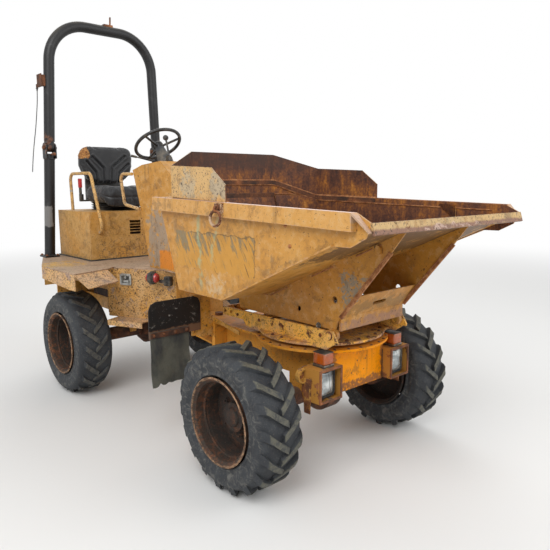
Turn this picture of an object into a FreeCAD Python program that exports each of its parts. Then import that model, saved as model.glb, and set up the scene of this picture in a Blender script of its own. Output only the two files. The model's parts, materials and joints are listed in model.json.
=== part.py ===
# Articulated site dumper with a swivelling skip, sized in millimetres.
# X points forward, Y to the machine's left, Z up. The origin is on the ground,
# midway between the axles, on the articulation pin's axis.
import FreeCAD, Part
import math
import os

V = FreeCAD.Vector

# Stance
WHEELBASE = 2030.0
TRACK = 1275.0
TYRE_RADIUS = 390.0
TYRE_WIDTH = 265.0
AXLE_Z = TYRE_RADIUS
TYRE_TOP_Z = 2 * TYRE_RADIUS
FRONT_AXLE_X = WHEELBASE / 2
REAR_AXLE_X = -WHEELBASE / 2
RUNNING_FIT = 0.05
SEAM = 0.3

# Tyres
TYRE_SIDES = 20
TYRE_SHOULDER = 50.0
LUGS = 18
LUG_WIDTH = 30.0
LUG_LEAD = 17.0
LUG_PAST_MIDDLE = 14.0

# Wheels and axles
RIM_SHARE = 236.0 / 390.0
RIM_RADIUS = RIM_SHARE * TYRE_RADIUS
RIM_WALL = 8.0
RIM_BEAD = 22.0
BEAD_SEAT = RIM_RADIUS - 20.0
RIM_BARREL = BEAD_SEAT - 11.0
DISC_Y = 20.0
DISC = 12.0
DISC_DISH = 14.0
DISH_RADIUS = 140.0
HUB_RADIUS = 78.0
HUB_OUT_Y = -30.0
HUB_IN_Y = 62.0
SPINDLE_RADIUS = 30.0
AXLE_TUBE_RADIUS = 52.0
DIFF_RADIUS = 125.0
DIFF_HALF = 95.0
DRUM_RADIUS = 90.0
DRUM_LENGTH = 130.0
DRUM_RIBS = 5

# Front chassis
BEAM_IN_Y = 150.0
BEAM_OUT_Y = 205.0
BEAM_LOW_Z = AXLE_Z + 130.0
SADDLE_HALF = 60.0
TOP_PLATE = 14.0
TOP_PLATE_Z = TYRE_TOP_Z - 67.0
TOP_PLATE_REAR_X = FRONT_AXLE_X - 655.0
TOP_PLATE_Y = 300.0
TOP_PLATE_RADIUS = 385.0
BACK_PLATE = 30.0
FRONT_PLATE_X = FRONT_AXLE_X + 285.0
FRONT_PLATE = 12.0
FRONT_PLATE_LOW_Z = BEAM_LOW_Z - 50.0
SLEW_X = FRONT_AXLE_X
SLEW_RING_RADIUS = 250.0
SLEW_RING = 20.0

# Lamps
LAMP_Y = TRACK / 2 - 343.0
LAMP_Z = TOP_PLATE_Z - 147.0
LAMP_HALF_W = 84.0
LAMP_HALF_H = 89.0
LAMP_DEPTH = 120.0
LAMP_FRONT_X = FRONT_PLATE_X + 68.0
LAMP_WALL = 5.0
LAMP_UNIT_HALF = 60.0
LAMP_UNIT_TALL = 74.0
LENS_DOME = 260.0
LAMP_BRACKET = 12.0
BRACKET_OUT_Y = LAMP_Y + 135.5
TIE_RING_RADIUS = 40.0
TIE_RING_WALL = 9.0
HANGER_DROP = 156.0

# Front mudguards
MUD_X = FRONT_AXLE_X - 665.0
MUD_WALL = 5.0
MUD_IN_Y = 400.0
MUD_OUT_Y = 765.0
MUD_LOW_Z = TYRE_TOP_Z - 90.0
MUD_TOP_Z = MUD_LOW_Z + 220.0
MUD_ROUND = 50.0
FLAP_LOW_Z = MUD_LOW_Z - 290.0
FLAP = 8.0
POST_IN_Y = 320.0
POST = 15.0
STRAP_WIDTH = 28.0

# Turntable
RING_GAP = 0.3
TURN_PLATE = 14.0
TURN_LOW_Z = TOP_PLATE_Z + TOP_PLATE + SLEW_RING + RING_GAP
TURN_TOP_Z = TURN_LOW_Z + TURN_PLATE
TURN_RADIUS = 365.0
TYRE_CLEAR = 10.0
RAIL_LOW_Z = TYRE_TOP_Z + TYRE_CLEAR
RAIL_TOP_Z = RAIL_LOW_Z + 52.0
RAIL_Y = 300.0
RAIL_WALL = 12.0
RAIL_REAR_X = SLEW_X - 561.0
RAIL_FRONT_X = SLEW_X + 390.0
CROSS_BAR = 50.0
CROSS_REACH = 325.0

# Tipping ram and pivot
TIP_X = SLEW_X + 335.0
TIP_Z = RAIL_TOP_Z - 17.0
TIP_PIN_RADIUS = 20.0
TIP_BOSS_RADIUS = 34.0
RAM_FOOT_X = SLEW_X - 450.0
RAM_FOOT_Z = RAIL_TOP_Z - 42.0
RAM_EYE_X = TIP_X - 250.0
RAM_EYE_Z = TIP_Z + 100.0
RAM_BARREL = 34.0
RAM_ROD = 17.0
RAM_BARREL_END = 445.0
RAM_ROD_END = 85.0
RAM_EYE_RADIUS = 30.0
RAM_EYE_HALF = 22.0
RAM_EAR_GAP = 12.0
RAM_EAR = 12.0
RAM_NECK = 60.0
RAM_END_WALL = 12.0
RAM_PIN = 14.0

# Skip
SKIP_WALL = 8.0
SKIP_BOTTOM_Z = RAIL_TOP_Z + 138.0
RIM_REAR_X = SLEW_X - 808.0
RIM_FRONT_X = SLEW_X + 784.0
RIM_REAR_Z = SKIP_BOTTOM_Z + 539.0
RIM_FRONT_Z = SKIP_BOTTOM_Z + 500.0
RIM_REAR_Y = 630.0
RIM_FRONT_Y = 667.0
RIM_DEPTH = 76.0
RIM_OUT = 39.0
BACK_FOOT_X = RIM_REAR_X + 213.0
BACK_HEAD_X = RIM_REAR_X + 8.0
KNEE_X = BACK_FOOT_X + 450.0
LIP_X = RIM_FRONT_X + 69.0
LIP_TOP_Z = RIM_FRONT_Z - 39.0
LIP_REACH = 22.0
LIP_DROP = 47.0
FLOOR_SLOPE = math.radians(24.0)
LEDGE = 20.0
EDGE_PLATE = 8.0
LUG_X = RIM_REAR_X + 698.0
LUG_HALF = 30.0
LUG_PLATE = 12.0
LUG_BORE = 12.0

# Spill guard
GUARD_WALL = 6.0
GUARD_HALF_Y = 342.0
GUARD_BACK_Z = RIM_REAR_Z + 276.0
GUARD_SIDE_Z = RIM_REAR_Z + 181.0
GUARD_CORNER_X = RIM_REAR_X + 184.0
GUARD_SLOPE_X = RIM_REAR_X + 588.0
GUARD_FRONT_X = RIM_REAR_X + 713.0
GUARD_FRONT_Z = RIM_REAR_Z + 71.0
GUARD_LEAN = 12.0

# Skip under-frame
UNDER_Y = 270.0
UNDER_WALL = 8.0
UNDER_REAR_X = BACK_FOOT_X + 165.0
UNDER_LOW_Z = RAIL_TOP_Z + 8.0
CROSS_RAIL = 12.0
CROSS_RAIL_TOP_Z = UNDER_LOW_Z + 70.0
SLOT_HALF = 40.0
SLOT_RADIUS = 13.0
BUFFER_RADIUS = 24.0

# Rear chassis
PANEL_FRONT_X = -240.0
PANEL_FRONT_Y = 207.0
PANEL_REAR_X = REAR_AXLE_X + 235.0
PANEL_REAR_Y = 466.0
PANEL = 9.0
PANEL_LOW_Z = AXLE_Z + 210.0
PANEL_STEP_Z = TYRE_TOP_Z + 20.0
REAR_BEAM_LOW_Z = AXLE_Z + 130.0
REAR_BEAM_HIGH_Z = REAR_BEAM_LOW_Z + 105.0
NECK_Y = 85.0
NECK_REAR_X = -640.0
FLOOR = 8.0
NOSE = 12.0
TAIL = 14.0
STEP_REAR_X = REAR_AXLE_X + 315.0
STEP_FRONT_X = REAR_AXLE_X + 585.0
STEP_DEPTH = 146.0
STEP_SWEEP = 55.0
STEP_Z = PANEL_LOW_Z + 2.0
STEP_LIP = 40.0
STEP_WALL = 6.0

# Rear deck and fenders
DECK_PLATE = 8.0
DECK_Z = TYRE_TOP_Z + 201.0
DECK_LOW_Z = DECK_Z - DECK_PLATE
DECK_REAR_X = REAR_AXLE_X - 775.0
DECK_EDGE_Y = 815.0
DECK_CHAMFER_X = REAR_AXLE_X - 145.0
DECK_CHAMFER_Y = 570.0
DECK_FRONT_X = REAR_AXLE_X + 455.0
DECK_INNER_X = REAR_AXLE_X + 355.0
DECK_INNER_Y = 520.0
NOSE_X = -150.0
DECK_NECK_X = -330.0
SKIRT_WALL = 6.0
SKIRT_LOW_Z = DECK_Z - 99.0
SKIRT_DIP_X = REAR_AXLE_X + 351.0
SKIRT_DIP = 23.0
FLAP_TIP_X = DECK_FRONT_X + 193.0
FLAP_TIP_Z = DECK_Z - 76.0
FLAP_SLOT_X = DECK_FRONT_X + 30.0
FLAP_SLOT_Y = 500.0
REAR_PANEL = 6.0
REAR_PANEL_LOW_Z = DECK_Z - 261.0
REAR_PANEL_ARCH_Y = 420.0
REAR_PANEL_ARCH_Z = DECK_Z - 121.0

# Tow hitch
HITCH_REACH = 60.0
HITCH_RADIUS = 40.0
HITCH_PLATE = 14.0
HITCH_PIN = 14.0
HITCH_X = DECK_REAR_X - HITCH_REACH
HITCH_LOW_Z = REAR_BEAM_LOW_Z + 20.0
HITCH_GAP = 60.0

# Engine cover
COVER_FRONT_X = REAR_AXLE_X - 109.0
COVER_REAR_X = REAR_AXLE_X - 730.0
COVER_Y = 430.0
COVER_TOP_Z = DECK_Z + 395.0
COVER_WALL = 4.0
HINGE_X = COVER_REAR_X - 13.0
HINGE_Z = DECK_Z + 15.0
HINGE_PIN = 6.0
HINGE_KNUCKLE = 11.0
HINGE_Y = 180.0
KNUCKLE_LENGTH = 28.0
VENT_Y = -30.0
VENT_Z = COVER_TOP_Z - 138.0
VENT_HALF_Y = 50.0
VENT_HALF_Z = 58.0
VENT_BARS = 5

# Seat
SEAT_Y = -30.0
SEAT_HALF = 255.0
SEAT_REAR_X = COVER_REAR_X + 80.0
CUSHION_REAR_X = SEAT_REAR_X + 65.0
CUSHION_FRONT_X = CUSHION_REAR_X + 480.0
BELLOWS_HALF = 200.0
BELLOWS_TOP_Z = COVER_TOP_Z + 76.0
CUSHION_TOP_Z = BELLOWS_TOP_Z + 118.0
BACK_TOP_Z = CUSHION_TOP_Z + 360.0
BACK_CORNER = 75.0
HANDLE_RADIUS = 13.0
HANDLE_Y = -350.0

# Console
CONSOLE_Y = 250.0
CONSOLE_FRONT_X = -160.0
CONSOLE_WALL = 5.0
CONSOLE_BROW_Z = DECK_Z + 659.0
CONSOLE_HANDLE_Y = -262.0

# Steering
WHEEL_X = -760.0
WHEEL_Z = DECK_Z + 924.0
WHEEL_RADIUS = 190.0
WHEEL_GRIP = 13.0
WHEEL_TILT = math.radians(35.0)
SHAFT_RADIUS = 11.0
SPOKES = 3
STEER_ARM = 170.0
STEER_FOOT_X = -520.0
STEER_Z = AXLE_Z + 191.0
STEER_BARREL = 26.0
STEER_ROD = 13.0
STEER_BARREL_END = 385.0
STEER_ROD_END = 175.0

# Roll bar
BAR_RADIUS = 43.0
BAR_WALL = 5.0
BAR_X = REAR_AXLE_X - 667.0
BAR_FOOT_Y = 551.0
BAR_TOP_Z = DECK_Z + 1931.0
BAR_BEND = 319.0
BAR_TAPER = math.radians(2.69)
BAR_LEAN = math.radians(1.7)
FOLD_Z = DECK_Z + 919.0
FOLD_PIN = 12.0
CLEVIS_RADIUS = 36.0
CLEVIS_HALF = 28.0
CHEEK = 10.0
CHEEK_GAP = 6.0
LAMP_MOUNT_Z = FOLD_Z + 486.0
LAMP_MOUNT_TALL = 104.0

# Articulation
PIN_RADIUS = 28.0
PIN_HEAD = 20.0
YOKE_RADIUS = 62.0
YOKE_PLATE = 22.0
YOKE_LOW_Z = AXLE_Z + 110.0
YOKE_TOP_Z = YOKE_LOW_Z + 162.0
YOKE_GAP = 2.0

# Loose cable
CABLE_RADIUS = 3.5

nodes = {}


def box(x0, x1, y0, y1, z0, z1):
    return Part.makeBox(x1 - x0, y1 - y0, z1 - z0, V(x0, y0, z0))


def bar(start, end, radius):
    way = V(*end) - V(*start)
    return Part.makeCylinder(radius, way.Length, V(*start), way)


def plate(points, plane, low, high):
    """A flat outline in the xy, xz or yz plane, from low to high along the third axis."""
    places = {
        "xy": lambda a, b: V(a, b, low),
        "xz": lambda a, b: V(a, low, b),
        "yz": lambda a, b: V(low, a, b),
    }
    ways = {"xy": V(0, 0, high - low), "xz": V(0, high - low, 0), "yz": V(high - low, 0, 0)}
    corners = [places[plane](a, b) for a, b in points]
    return Part.Face(Part.makePolygon(corners + corners[:1])).extrude(ways[plane])


def panel(corners, way):
    """A flat plate over corners given in space, carried along way."""
    corners = [V(*c) for c in corners]
    return Part.Face(Part.makePolygon(corners + corners[:1])).extrude(V(*way))


def union(parts):
    whole = parts[0]
    for piece in parts[1:]:
        whole = whole.fuse(piece)
    return whole.removeSplitter()


def mirrored(shape):
    return shape.mirror(V(0, 0, 0), V(0, 1, 0))


def both(shape):
    return [shape, mirrored(shape)]


def span(side, near, far):
    """Low and high Y of a piece between two distances from the centre plane."""
    return sorted((side * near, side * far))


def turned(profile, centre, axis):
    """A closed (radius, along) outline turned about an axis through centre."""
    along = V(*axis)
    across = V(0, 0, 1) if abs(along.z) < 0.5 else V(1, 0, 0)
    corners = [V(*centre) + across * r + along * a for r, a in profile]
    face = Part.Face(Part.makePolygon(corners + corners[:1]))
    return face.revolve(V(*centre), along, 360)


def polyhedron(faces):
    shell = Part.Shell([Part.Face(Part.makePolygon(list(f) + [f[0]])) for f in faces])
    solid = Part.Solid(shell)
    if solid.Volume < 0:
        solid.reverse()
    return solid


def bent_tube(points, bend, radius):
    """A round bar along straight runs joined by arcs of one bend radius, or of one each."""
    points = [V(*p) for p in points]
    bends = bend if isinstance(bend, list) else [bend] * (len(points) - 2)
    edges = []
    start = points[0]
    for before, corner, after, size in zip(points, points[1:], points[2:], bends):
        way_in = (corner - before).normalize()
        way_out = (after - corner).normalize()
        half = way_in.getAngle(way_out) / 2
        reach = size * math.tan(half)
        middle = corner + (way_out - way_in).normalize() * (size / math.cos(half) - size)
        arc_start = corner - way_in * reach
        arc_end = corner + way_out * reach
        if (arc_start - start).Length > 0.01:
            edges.append(Part.LineSegment(start, arc_start).toShape())
        edges.append(Part.Arc(arc_start, middle, arc_end).toShape())
        start = arc_end
    edges.append(Part.LineSegment(start, points[-1]).toShape())
    spine = Part.Wire(edges)
    ring = Part.Wire(Part.makeCircle(radius, points[0], points[1] - points[0]))
    return spine.makePipeShell([ring], True, True)


def keep(name, *shapes):
    nodes[name] = shapes[0] if len(shapes) == 1 else Part.makeCompound(list(shapes))


# Tyres and wheels, drawn for the right side: the outer face looks along -Y
def on_tyre(radius, y, degrees):
    """A point of a tyre, with the angle counted from the top towards the front."""
    angle = math.radians(degrees)
    return V(radius * math.sin(angle), y, radius * math.cos(angle))


def carcass(tread):
    """The tyre without its lugs, in flat-sided steps round the axle."""
    half = TYRE_WIDTH / 2
    side = [(BEAD_SEAT, half - RIM_BEAD), (RIM_RADIUS - 10, half - 6), (tread - 36, half),
            (tread, half - TYRE_SHOULDER)]
    profile = [(r, -y) for r, y in side] + [(r, y) for r, y in reversed(side)]
    turn = 360 / TYRE_SIDES
    swell = 1 / math.cos(math.radians(turn / 2))
    rings = [[on_tyre(r * swell, y, turn * step) for r, y in profile] for step in range(TYRE_SIDES)]
    faces = []
    for one, two in zip(rings, rings[1:] + rings[:1]):
        for i in range(len(profile)):
            j = (i + 1) % len(profile)
            faces.append((one[i], one[j], two[j], two[i]))
    return polyhedron(faces)


def lug(side, start, tread, worn):
    """A slanting tread bar from one shoulder, or from the sidewall, to just past the middle."""
    half = TYRE_WIDTH / 2
    sections = [
        # distance from the middle, top radius, foot radius, angle
        (half - 2, tread - 46, tread - 66, start),
        (half - TYRE_SHOULDER + 12, TYRE_RADIUS, tread - 9, start + 0.25 * LUG_LEAD),
        (-LUG_PAST_MIDDLE, TYRE_RADIUS, tread - 9, start + LUG_LEAD),
    ]
    if worn:
        sections[:2] = [(half - TYRE_SHOULDER / 2, TYRE_RADIUS, tread - 30, start + 0.12 * LUG_LEAD)]
    width = math.degrees(LUG_WIDTH / TYRE_RADIUS) / 2
    rings = []
    for away, top, foot, angle in sections:
        rings.append([on_tyre(foot, side * away, angle - 1.3 * width), on_tyre(top, side * away, angle - width),
                      on_tyre(top, side * away, angle + width), on_tyre(foot, side * away, angle + 1.3 * width)])
    faces = [rings[0], rings[-1][::-1]]
    for one, two in zip(rings, rings[1:]):
        for i in range(4):
            j = (i + 1) % 4
            faces += [(one[i], two[i], two[j]), (one[i], two[j], one[j])]
    return polyhedron(faces)


def tyre(height, worn):
    """Carcass with a row of lugs from each side, half a pitch apart."""
    tread = TYRE_RADIUS - height
    pitch = 360 / LUGS
    bars = [lug(side, (number + shift) * pitch, tread, worn)
            for side, shift in ((-1, 0.15), (1, 0.65)) for number in range(LUGS)]
    return carcass(tread).fuse(bars)


def wheel_rim():
    half = TYRE_WIDTH / 2
    bore = SPINDLE_RADIUS + RUNNING_FIT
    inside = BEAD_SEAT - RIM_WALL
    well = RIM_BARREL - RIM_WALL
    flange = [(RIM_RADIUS - 10.5, 5.5), (RIM_RADIUS - 1, -1), (RIM_RADIUS - 9, -5)]
    profile = [(r, -half + y) for r, y in flange]
    profile += [
        (inside, -half + 14), (inside, -half + 60), (well, -half + 80), (well, DISC_Y),
        (DISH_RADIUS, DISC_Y - DISC_DISH), (HUB_RADIUS, DISC_Y - DISC_DISH), (HUB_RADIUS, HUB_OUT_Y),
        (bore, HUB_OUT_Y), (bore, HUB_IN_Y), (HUB_RADIUS, HUB_IN_Y), (HUB_RADIUS, DISC_Y + DISC - DISC_DISH),
        (DISH_RADIUS, DISC_Y + DISC - DISC_DISH), (well, DISC_Y + DISC), (inside, half - 40), (inside, half - 14),
    ]
    profile += [(r, half - y) for r, y in reversed(flange)]
    profile += [
        (BEAD_SEAT - SEAM, half - RIM_BEAD), (BEAD_SEAT - SEAM, half - 46), (RIM_BARREL, half - 60),
        (RIM_BARREL, -half + 82), (BEAD_SEAT - SEAM, -half + 62), (BEAD_SEAT - SEAM, -half + RIM_BEAD),
    ]
    return turned(profile, (0, 0, 0), (0, 1, 0))


def axle():
    """Axle casing with its ribbed drums and its spindles, at X 0 and Z 0."""
    drum_y = TRACK / 2 - HUB_IN_Y - 4
    slope = DIFF_RADIUS - 45
    parts = [
        bar((0, -drum_y, 0), (0, drum_y, 0), AXLE_TUBE_RADIUS),
        turned([(0, -DIFF_HALF), (slope, -DIFF_HALF), (DIFF_RADIUS, -50), (DIFF_RADIUS, 50),
                (slope, DIFF_HALF), (0, DIFF_HALF)], (0, 0, 0), (0, 1, 0)),
    ]
    pitch = DRUM_LENGTH / DRUM_RIBS
    for side in (-1, 1):
        profile = [(0, drum_y - DRUM_LENGTH)]
        for rib in range(DRUM_RIBS):
            y = drum_y - DRUM_LENGTH + rib * pitch
            profile += [(DRUM_RADIUS, y), (DRUM_RADIUS, y + pitch / 2), (DRUM_RADIUS - 7, y + pitch / 2),
                        (DRUM_RADIUS - 7, y + pitch)]
        profile.append((0, drum_y))
        parts.append(turned(profile, (0, 0, 0), (0, side, 0)))
        parts.append(bar((0, side * drum_y, 0), (0, side * (TRACK / 2 - HUB_OUT_Y - 2), 0), SPINDLE_RADIUS))
    return union(parts)


WHEELS = [
    # name, x, side, lug height, worn
    ("front_right", FRONT_AXLE_X, -1, 25.0, False),
    ("front_left", FRONT_AXLE_X, 1, 25.0, False),
    ("rear_right", REAR_AXLE_X, -1, 14.0, True),
    ("rear_left", REAR_AXLE_X, 1, 14.0, True),
]
right_rim = wheel_rim()
for name, x, side, height, worn in WHEELS:
    place = V(x, side * TRACK / 2, AXLE_Z)
    for kind, shape in (("tyre", tyre(height, worn)), ("rim", right_rim)):
        piece = shape if side < 0 else mirrored(shape)
        keep(kind + "_" + name, piece.translated(place))
keep("front_axle", axle().translated(V(FRONT_AXLE_X, 0, AXLE_Z)))
keep("rear_axle", axle().translated(V(REAR_AXLE_X, 0, AXLE_Z)))


# Front chassis
def yoke(reach, root_half, heights):
    """Eye plates on the articulation pin, spread towards a root at X reach."""
    parts = []
    for z in heights:
        outline = [(0, -YOKE_RADIUS), (reach, -root_half), (reach, root_half), (0, YOKE_RADIUS)]
        parts.append(plate(outline, "xy", z, z + YOKE_PLATE))
        parts.append(Part.makeCylinder(YOKE_RADIUS, YOKE_PLATE, V(0, 0, z)))
    return parts


def axle_seats(x, beam_z):
    """Saddles between an axle tube and the chassis beams."""
    tube = bar((x, -BEAM_OUT_Y - 50, AXLE_Z), (x, BEAM_OUT_Y + 50, AXLE_Z), AXLE_TUBE_RADIUS)
    seats = []
    for side in (-1, 1):
        low, high = span(side, BEAM_IN_Y, BEAM_OUT_Y)
        seats.append(box(x - SADDLE_HALF, x + SADDLE_HALF, low, high, AXLE_Z, beam_z + 5).cut(tube))
    return seats


def steering_arm():
    """Plates above and below the steering rod's eye, held by the front chassis."""
    root = TOP_PLATE_REAR_X - BACK_PLATE + 5
    outline = [(-28, -STEER_ARM), (-10, -STEER_ARM - 28), (20, -STEER_ARM - 28), (root, -STEER_ARM - 80),
               (root, -STEER_ARM + 50), (10, -STEER_ARM + 28)]
    arm = plate(outline, "xy", 0, RAM_EAR)
    heights = (STEER_Z - RAM_EYE_HALF - 10 - RAM_EAR, STEER_Z + RAM_EYE_HALF + 10)
    return [arm.translated(V(0, 0, z)) for z in heights]


def front_frame():
    top = TOP_PLATE_Z + TOP_PLATE
    parts = [
        box(TOP_PLATE_REAR_X, SLEW_X, -TOP_PLATE_Y, TOP_PLATE_Y, TOP_PLATE_Z, top),
        Part.makeCylinder(TOP_PLATE_RADIUS, TOP_PLATE, V(SLEW_X, 0, TOP_PLATE_Z)),
    ]
    for side in (-1, 1):
        low, high = span(side, BEAM_IN_Y, BEAM_OUT_Y)
        parts.append(box(TOP_PLATE_REAR_X, FRONT_PLATE_X - FRONT_PLATE, low, high, BEAM_LOW_Z, TOP_PLATE_Z))
    plate_y = LAMP_Y - LAMP_HALF_W
    parts.append(box(FRONT_PLATE_X - FRONT_PLATE, FRONT_PLATE_X, -plate_y, plate_y,
                     FRONT_PLATE_LOW_Z, TOP_PLATE_Z - 13))
    parts.append(box(TOP_PLATE_REAR_X - BACK_PLATE, TOP_PLATE_REAR_X, -TOP_PLATE_Y, TOP_PLATE_Y,
                     YOKE_LOW_Z, top))
    parts += yoke(TOP_PLATE_REAR_X - BACK_PLATE, 130, (YOKE_LOW_Z, YOKE_TOP_Z - YOKE_PLATE))
    parts += steering_arm()
    parts += axle_seats(FRONT_AXLE_X, BEAM_LOW_Z)
    bore = Part.makeCylinder(PIN_RADIUS + RUNNING_FIT, YOKE_TOP_Z - YOKE_LOW_Z + 100, V(0, 0, YOKE_LOW_Z - 50))
    return union(parts).cut(bore)


keep("front_frame", front_frame())
keep("slew_ring", Part.makeCylinder(SLEW_RING_RADIUS, SLEW_RING, V(SLEW_X, 0, TOP_PLATE_Z + TOP_PLATE)))


def lamp_box():
    """Open-fronted box round a headlamp, its mouth edge folded inwards."""
    back = LAMP_FRONT_X - LAMP_DEPTH
    shells = []
    for inset in (0, LAMP_WALL):
        shells.append(box(back + inset, LAMP_FRONT_X, LAMP_Y - LAMP_HALF_W + inset, LAMP_Y + LAMP_HALF_W - inset,
                          LAMP_Z - LAMP_HALF_H + inset, LAMP_Z + LAMP_HALF_H - inset))
    fold = 2.2 * LAMP_WALL
    mouth = box(LAMP_FRONT_X - LAMP_WALL, LAMP_FRONT_X, LAMP_Y - LAMP_HALF_W + 1, LAMP_Y + LAMP_HALF_W - 1,
                LAMP_Z - LAMP_HALF_H + 1, LAMP_Z + LAMP_HALF_H - 1)
    hole = box(LAMP_FRONT_X - 2 * LAMP_WALL, LAMP_FRONT_X + LAMP_WALL, LAMP_Y - LAMP_HALF_W + fold,
               LAMP_Y + LAMP_HALF_W - fold, LAMP_Z - LAMP_HALF_H + fold, LAMP_Z + LAMP_HALF_H - fold)
    return union([shells[0].cut(shells[1]), mouth.cut(hole)])


def headlamp():
    """Upright lamp unit with rounded corners, a collar and a domed lens."""
    back = LAMP_FRONT_X - LAMP_DEPTH + LAMP_WALL
    face = LAMP_FRONT_X - 34
    body = box(back, face, LAMP_Y - LAMP_UNIT_HALF, LAMP_Y + LAMP_UNIT_HALF, LAMP_Z - LAMP_UNIT_TALL,
               LAMP_Z + LAMP_UNIT_TALL)
    glass = box(face - 1, face + 18, LAMP_Y - LAMP_UNIT_HALF + 8, LAMP_Y + LAMP_UNIT_HALF - 8,
                LAMP_Z - LAMP_UNIT_TALL + 8, LAMP_Z + LAMP_UNIT_TALL - 8)
    dome = Part.makeSphere(LENS_DOME, V(face + 18 - LENS_DOME, LAMP_Y, LAMP_Z))
    corners = [edge for edge in body.Edges if abs(edge.tangentAt(edge.FirstParameter).x) > 0.9]
    return union([body.makeFillet(18, corners), glass.common(dome)])


def lamp_bracket():
    """Plate behind a lamp box with a ring for a tie-down, and a hanger down the outer side."""
    back = LAMP_FRONT_X - LAMP_DEPTH
    ring_y = BRACKET_OUT_Y - TIE_RING_RADIUS
    ring_z = LAMP_Z + 44
    outer = LAMP_Y + LAMP_HALF_W
    sheet = box(back - LAMP_BRACKET, back, BEAM_OUT_Y, outer + LAMP_WALL, LAMP_Z - 50, LAMP_Z + LAMP_HALF_H)
    ear = bar((back - LAMP_BRACKET, ring_y, ring_z), (back, ring_y, ring_z), TIE_RING_RADIUS)
    ring = turned([(TIE_RING_RADIUS - TIE_RING_WALL, 0), (TIE_RING_RADIUS, 0), (TIE_RING_RADIUS, 14),
                   (TIE_RING_RADIUS - TIE_RING_WALL, 14)], (back, ring_y, ring_z), (1, 0, 0))
    hanger = plate([(back - 4, LAMP_Z + 30), (back + 58, LAMP_Z + 30), (back + 50, LAMP_Z - HANGER_DROP),
                    (back + 8, LAMP_Z - HANGER_DROP)], "xz", outer, outer + LAMP_WALL)
    room = box(back, LAMP_FRONT_X, outer - 2 * LAMP_HALF_W, outer, LAMP_Z - LAMP_HALF_H, LAMP_Z + LAMP_HALF_H)
    return union([sheet, ear, ring, hanger]).cut(room)


def indicator():
    """Amber lamp with rounded corners on a foot over the lamp box."""
    top = LAMP_Z + LAMP_HALF_H
    x = LAMP_FRONT_X - 48
    lens = box(x - 30, x + 30, LAMP_Y - 34, LAMP_Y + 34, top + 12, top + 58)
    upright = [edge for edge in lens.Edges if abs(edge.tangentAt(edge.FirstParameter).z) > 0.9]
    foot = box(x - 26, x + 26, LAMP_Y - 30, LAMP_Y + 30, top, top + 12)
    return union([lens.makeFillet(10, upright), foot])


keep("headlamp_boxes", *both(lamp_box()))
keep("headlamps", *both(headlamp()))
keep("lamp_brackets", *both(lamp_bracket()))
keep("front_indicators", *both(indicator()))


def mudguard():
    outline = [(MUD_IN_Y, MUD_LOW_Z), (MUD_OUT_Y, MUD_LOW_Z), (MUD_OUT_Y, MUD_TOP_Z - MUD_ROUND),
               (MUD_OUT_Y - 0.3 * MUD_ROUND, MUD_TOP_Z - 0.3 * MUD_ROUND), (MUD_OUT_Y - MUD_ROUND, MUD_TOP_Z),
               (MUD_IN_Y + MUD_ROUND, MUD_TOP_Z), (MUD_IN_Y + 0.3 * MUD_ROUND, MUD_TOP_Z - 0.3 * MUD_ROUND),
               (MUD_IN_Y, MUD_TOP_Z - MUD_ROUND)]
    return plate(outline, "yz", MUD_X - MUD_WALL, MUD_X)


def mudguard_post():
    """Upright that carries the mudguard, its foot on the chassis and its slanting strap."""
    front = MUD_X - MUD_WALL
    top = TOP_PLATE_Z + 2
    upright = box(front - POST, front, POST_IN_Y, MUD_IN_Y + 60, TOP_PLATE_Z - 58, MUD_TOP_Z + 5)
    foot = box(front - POST, front, TOP_PLATE_Y, MUD_IN_Y, TOP_PLATE_Z - 73, top + 50)
    strap = plate([(front - POST, top + 50), (front - POST, top + 50 - STRAP_WIDTH), (MUD_X + 270, top - STRAP_WIDTH),
                   (MUD_X + 270, top)], "xz", TOP_PLATE_Y, TOP_PLATE_Y + FLAP)
    return union([upright, foot, strap])


keep("mudguard_plates", *both(mudguard()))
keep("mudguard_posts", *both(mudguard_post()))
keep("mud_flaps", *both(box(MUD_X, MUD_X + FLAP, MUD_IN_Y + 90, MUD_OUT_Y, FLAP_LOW_Z, MUD_LOW_Z + 40)))


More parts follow.
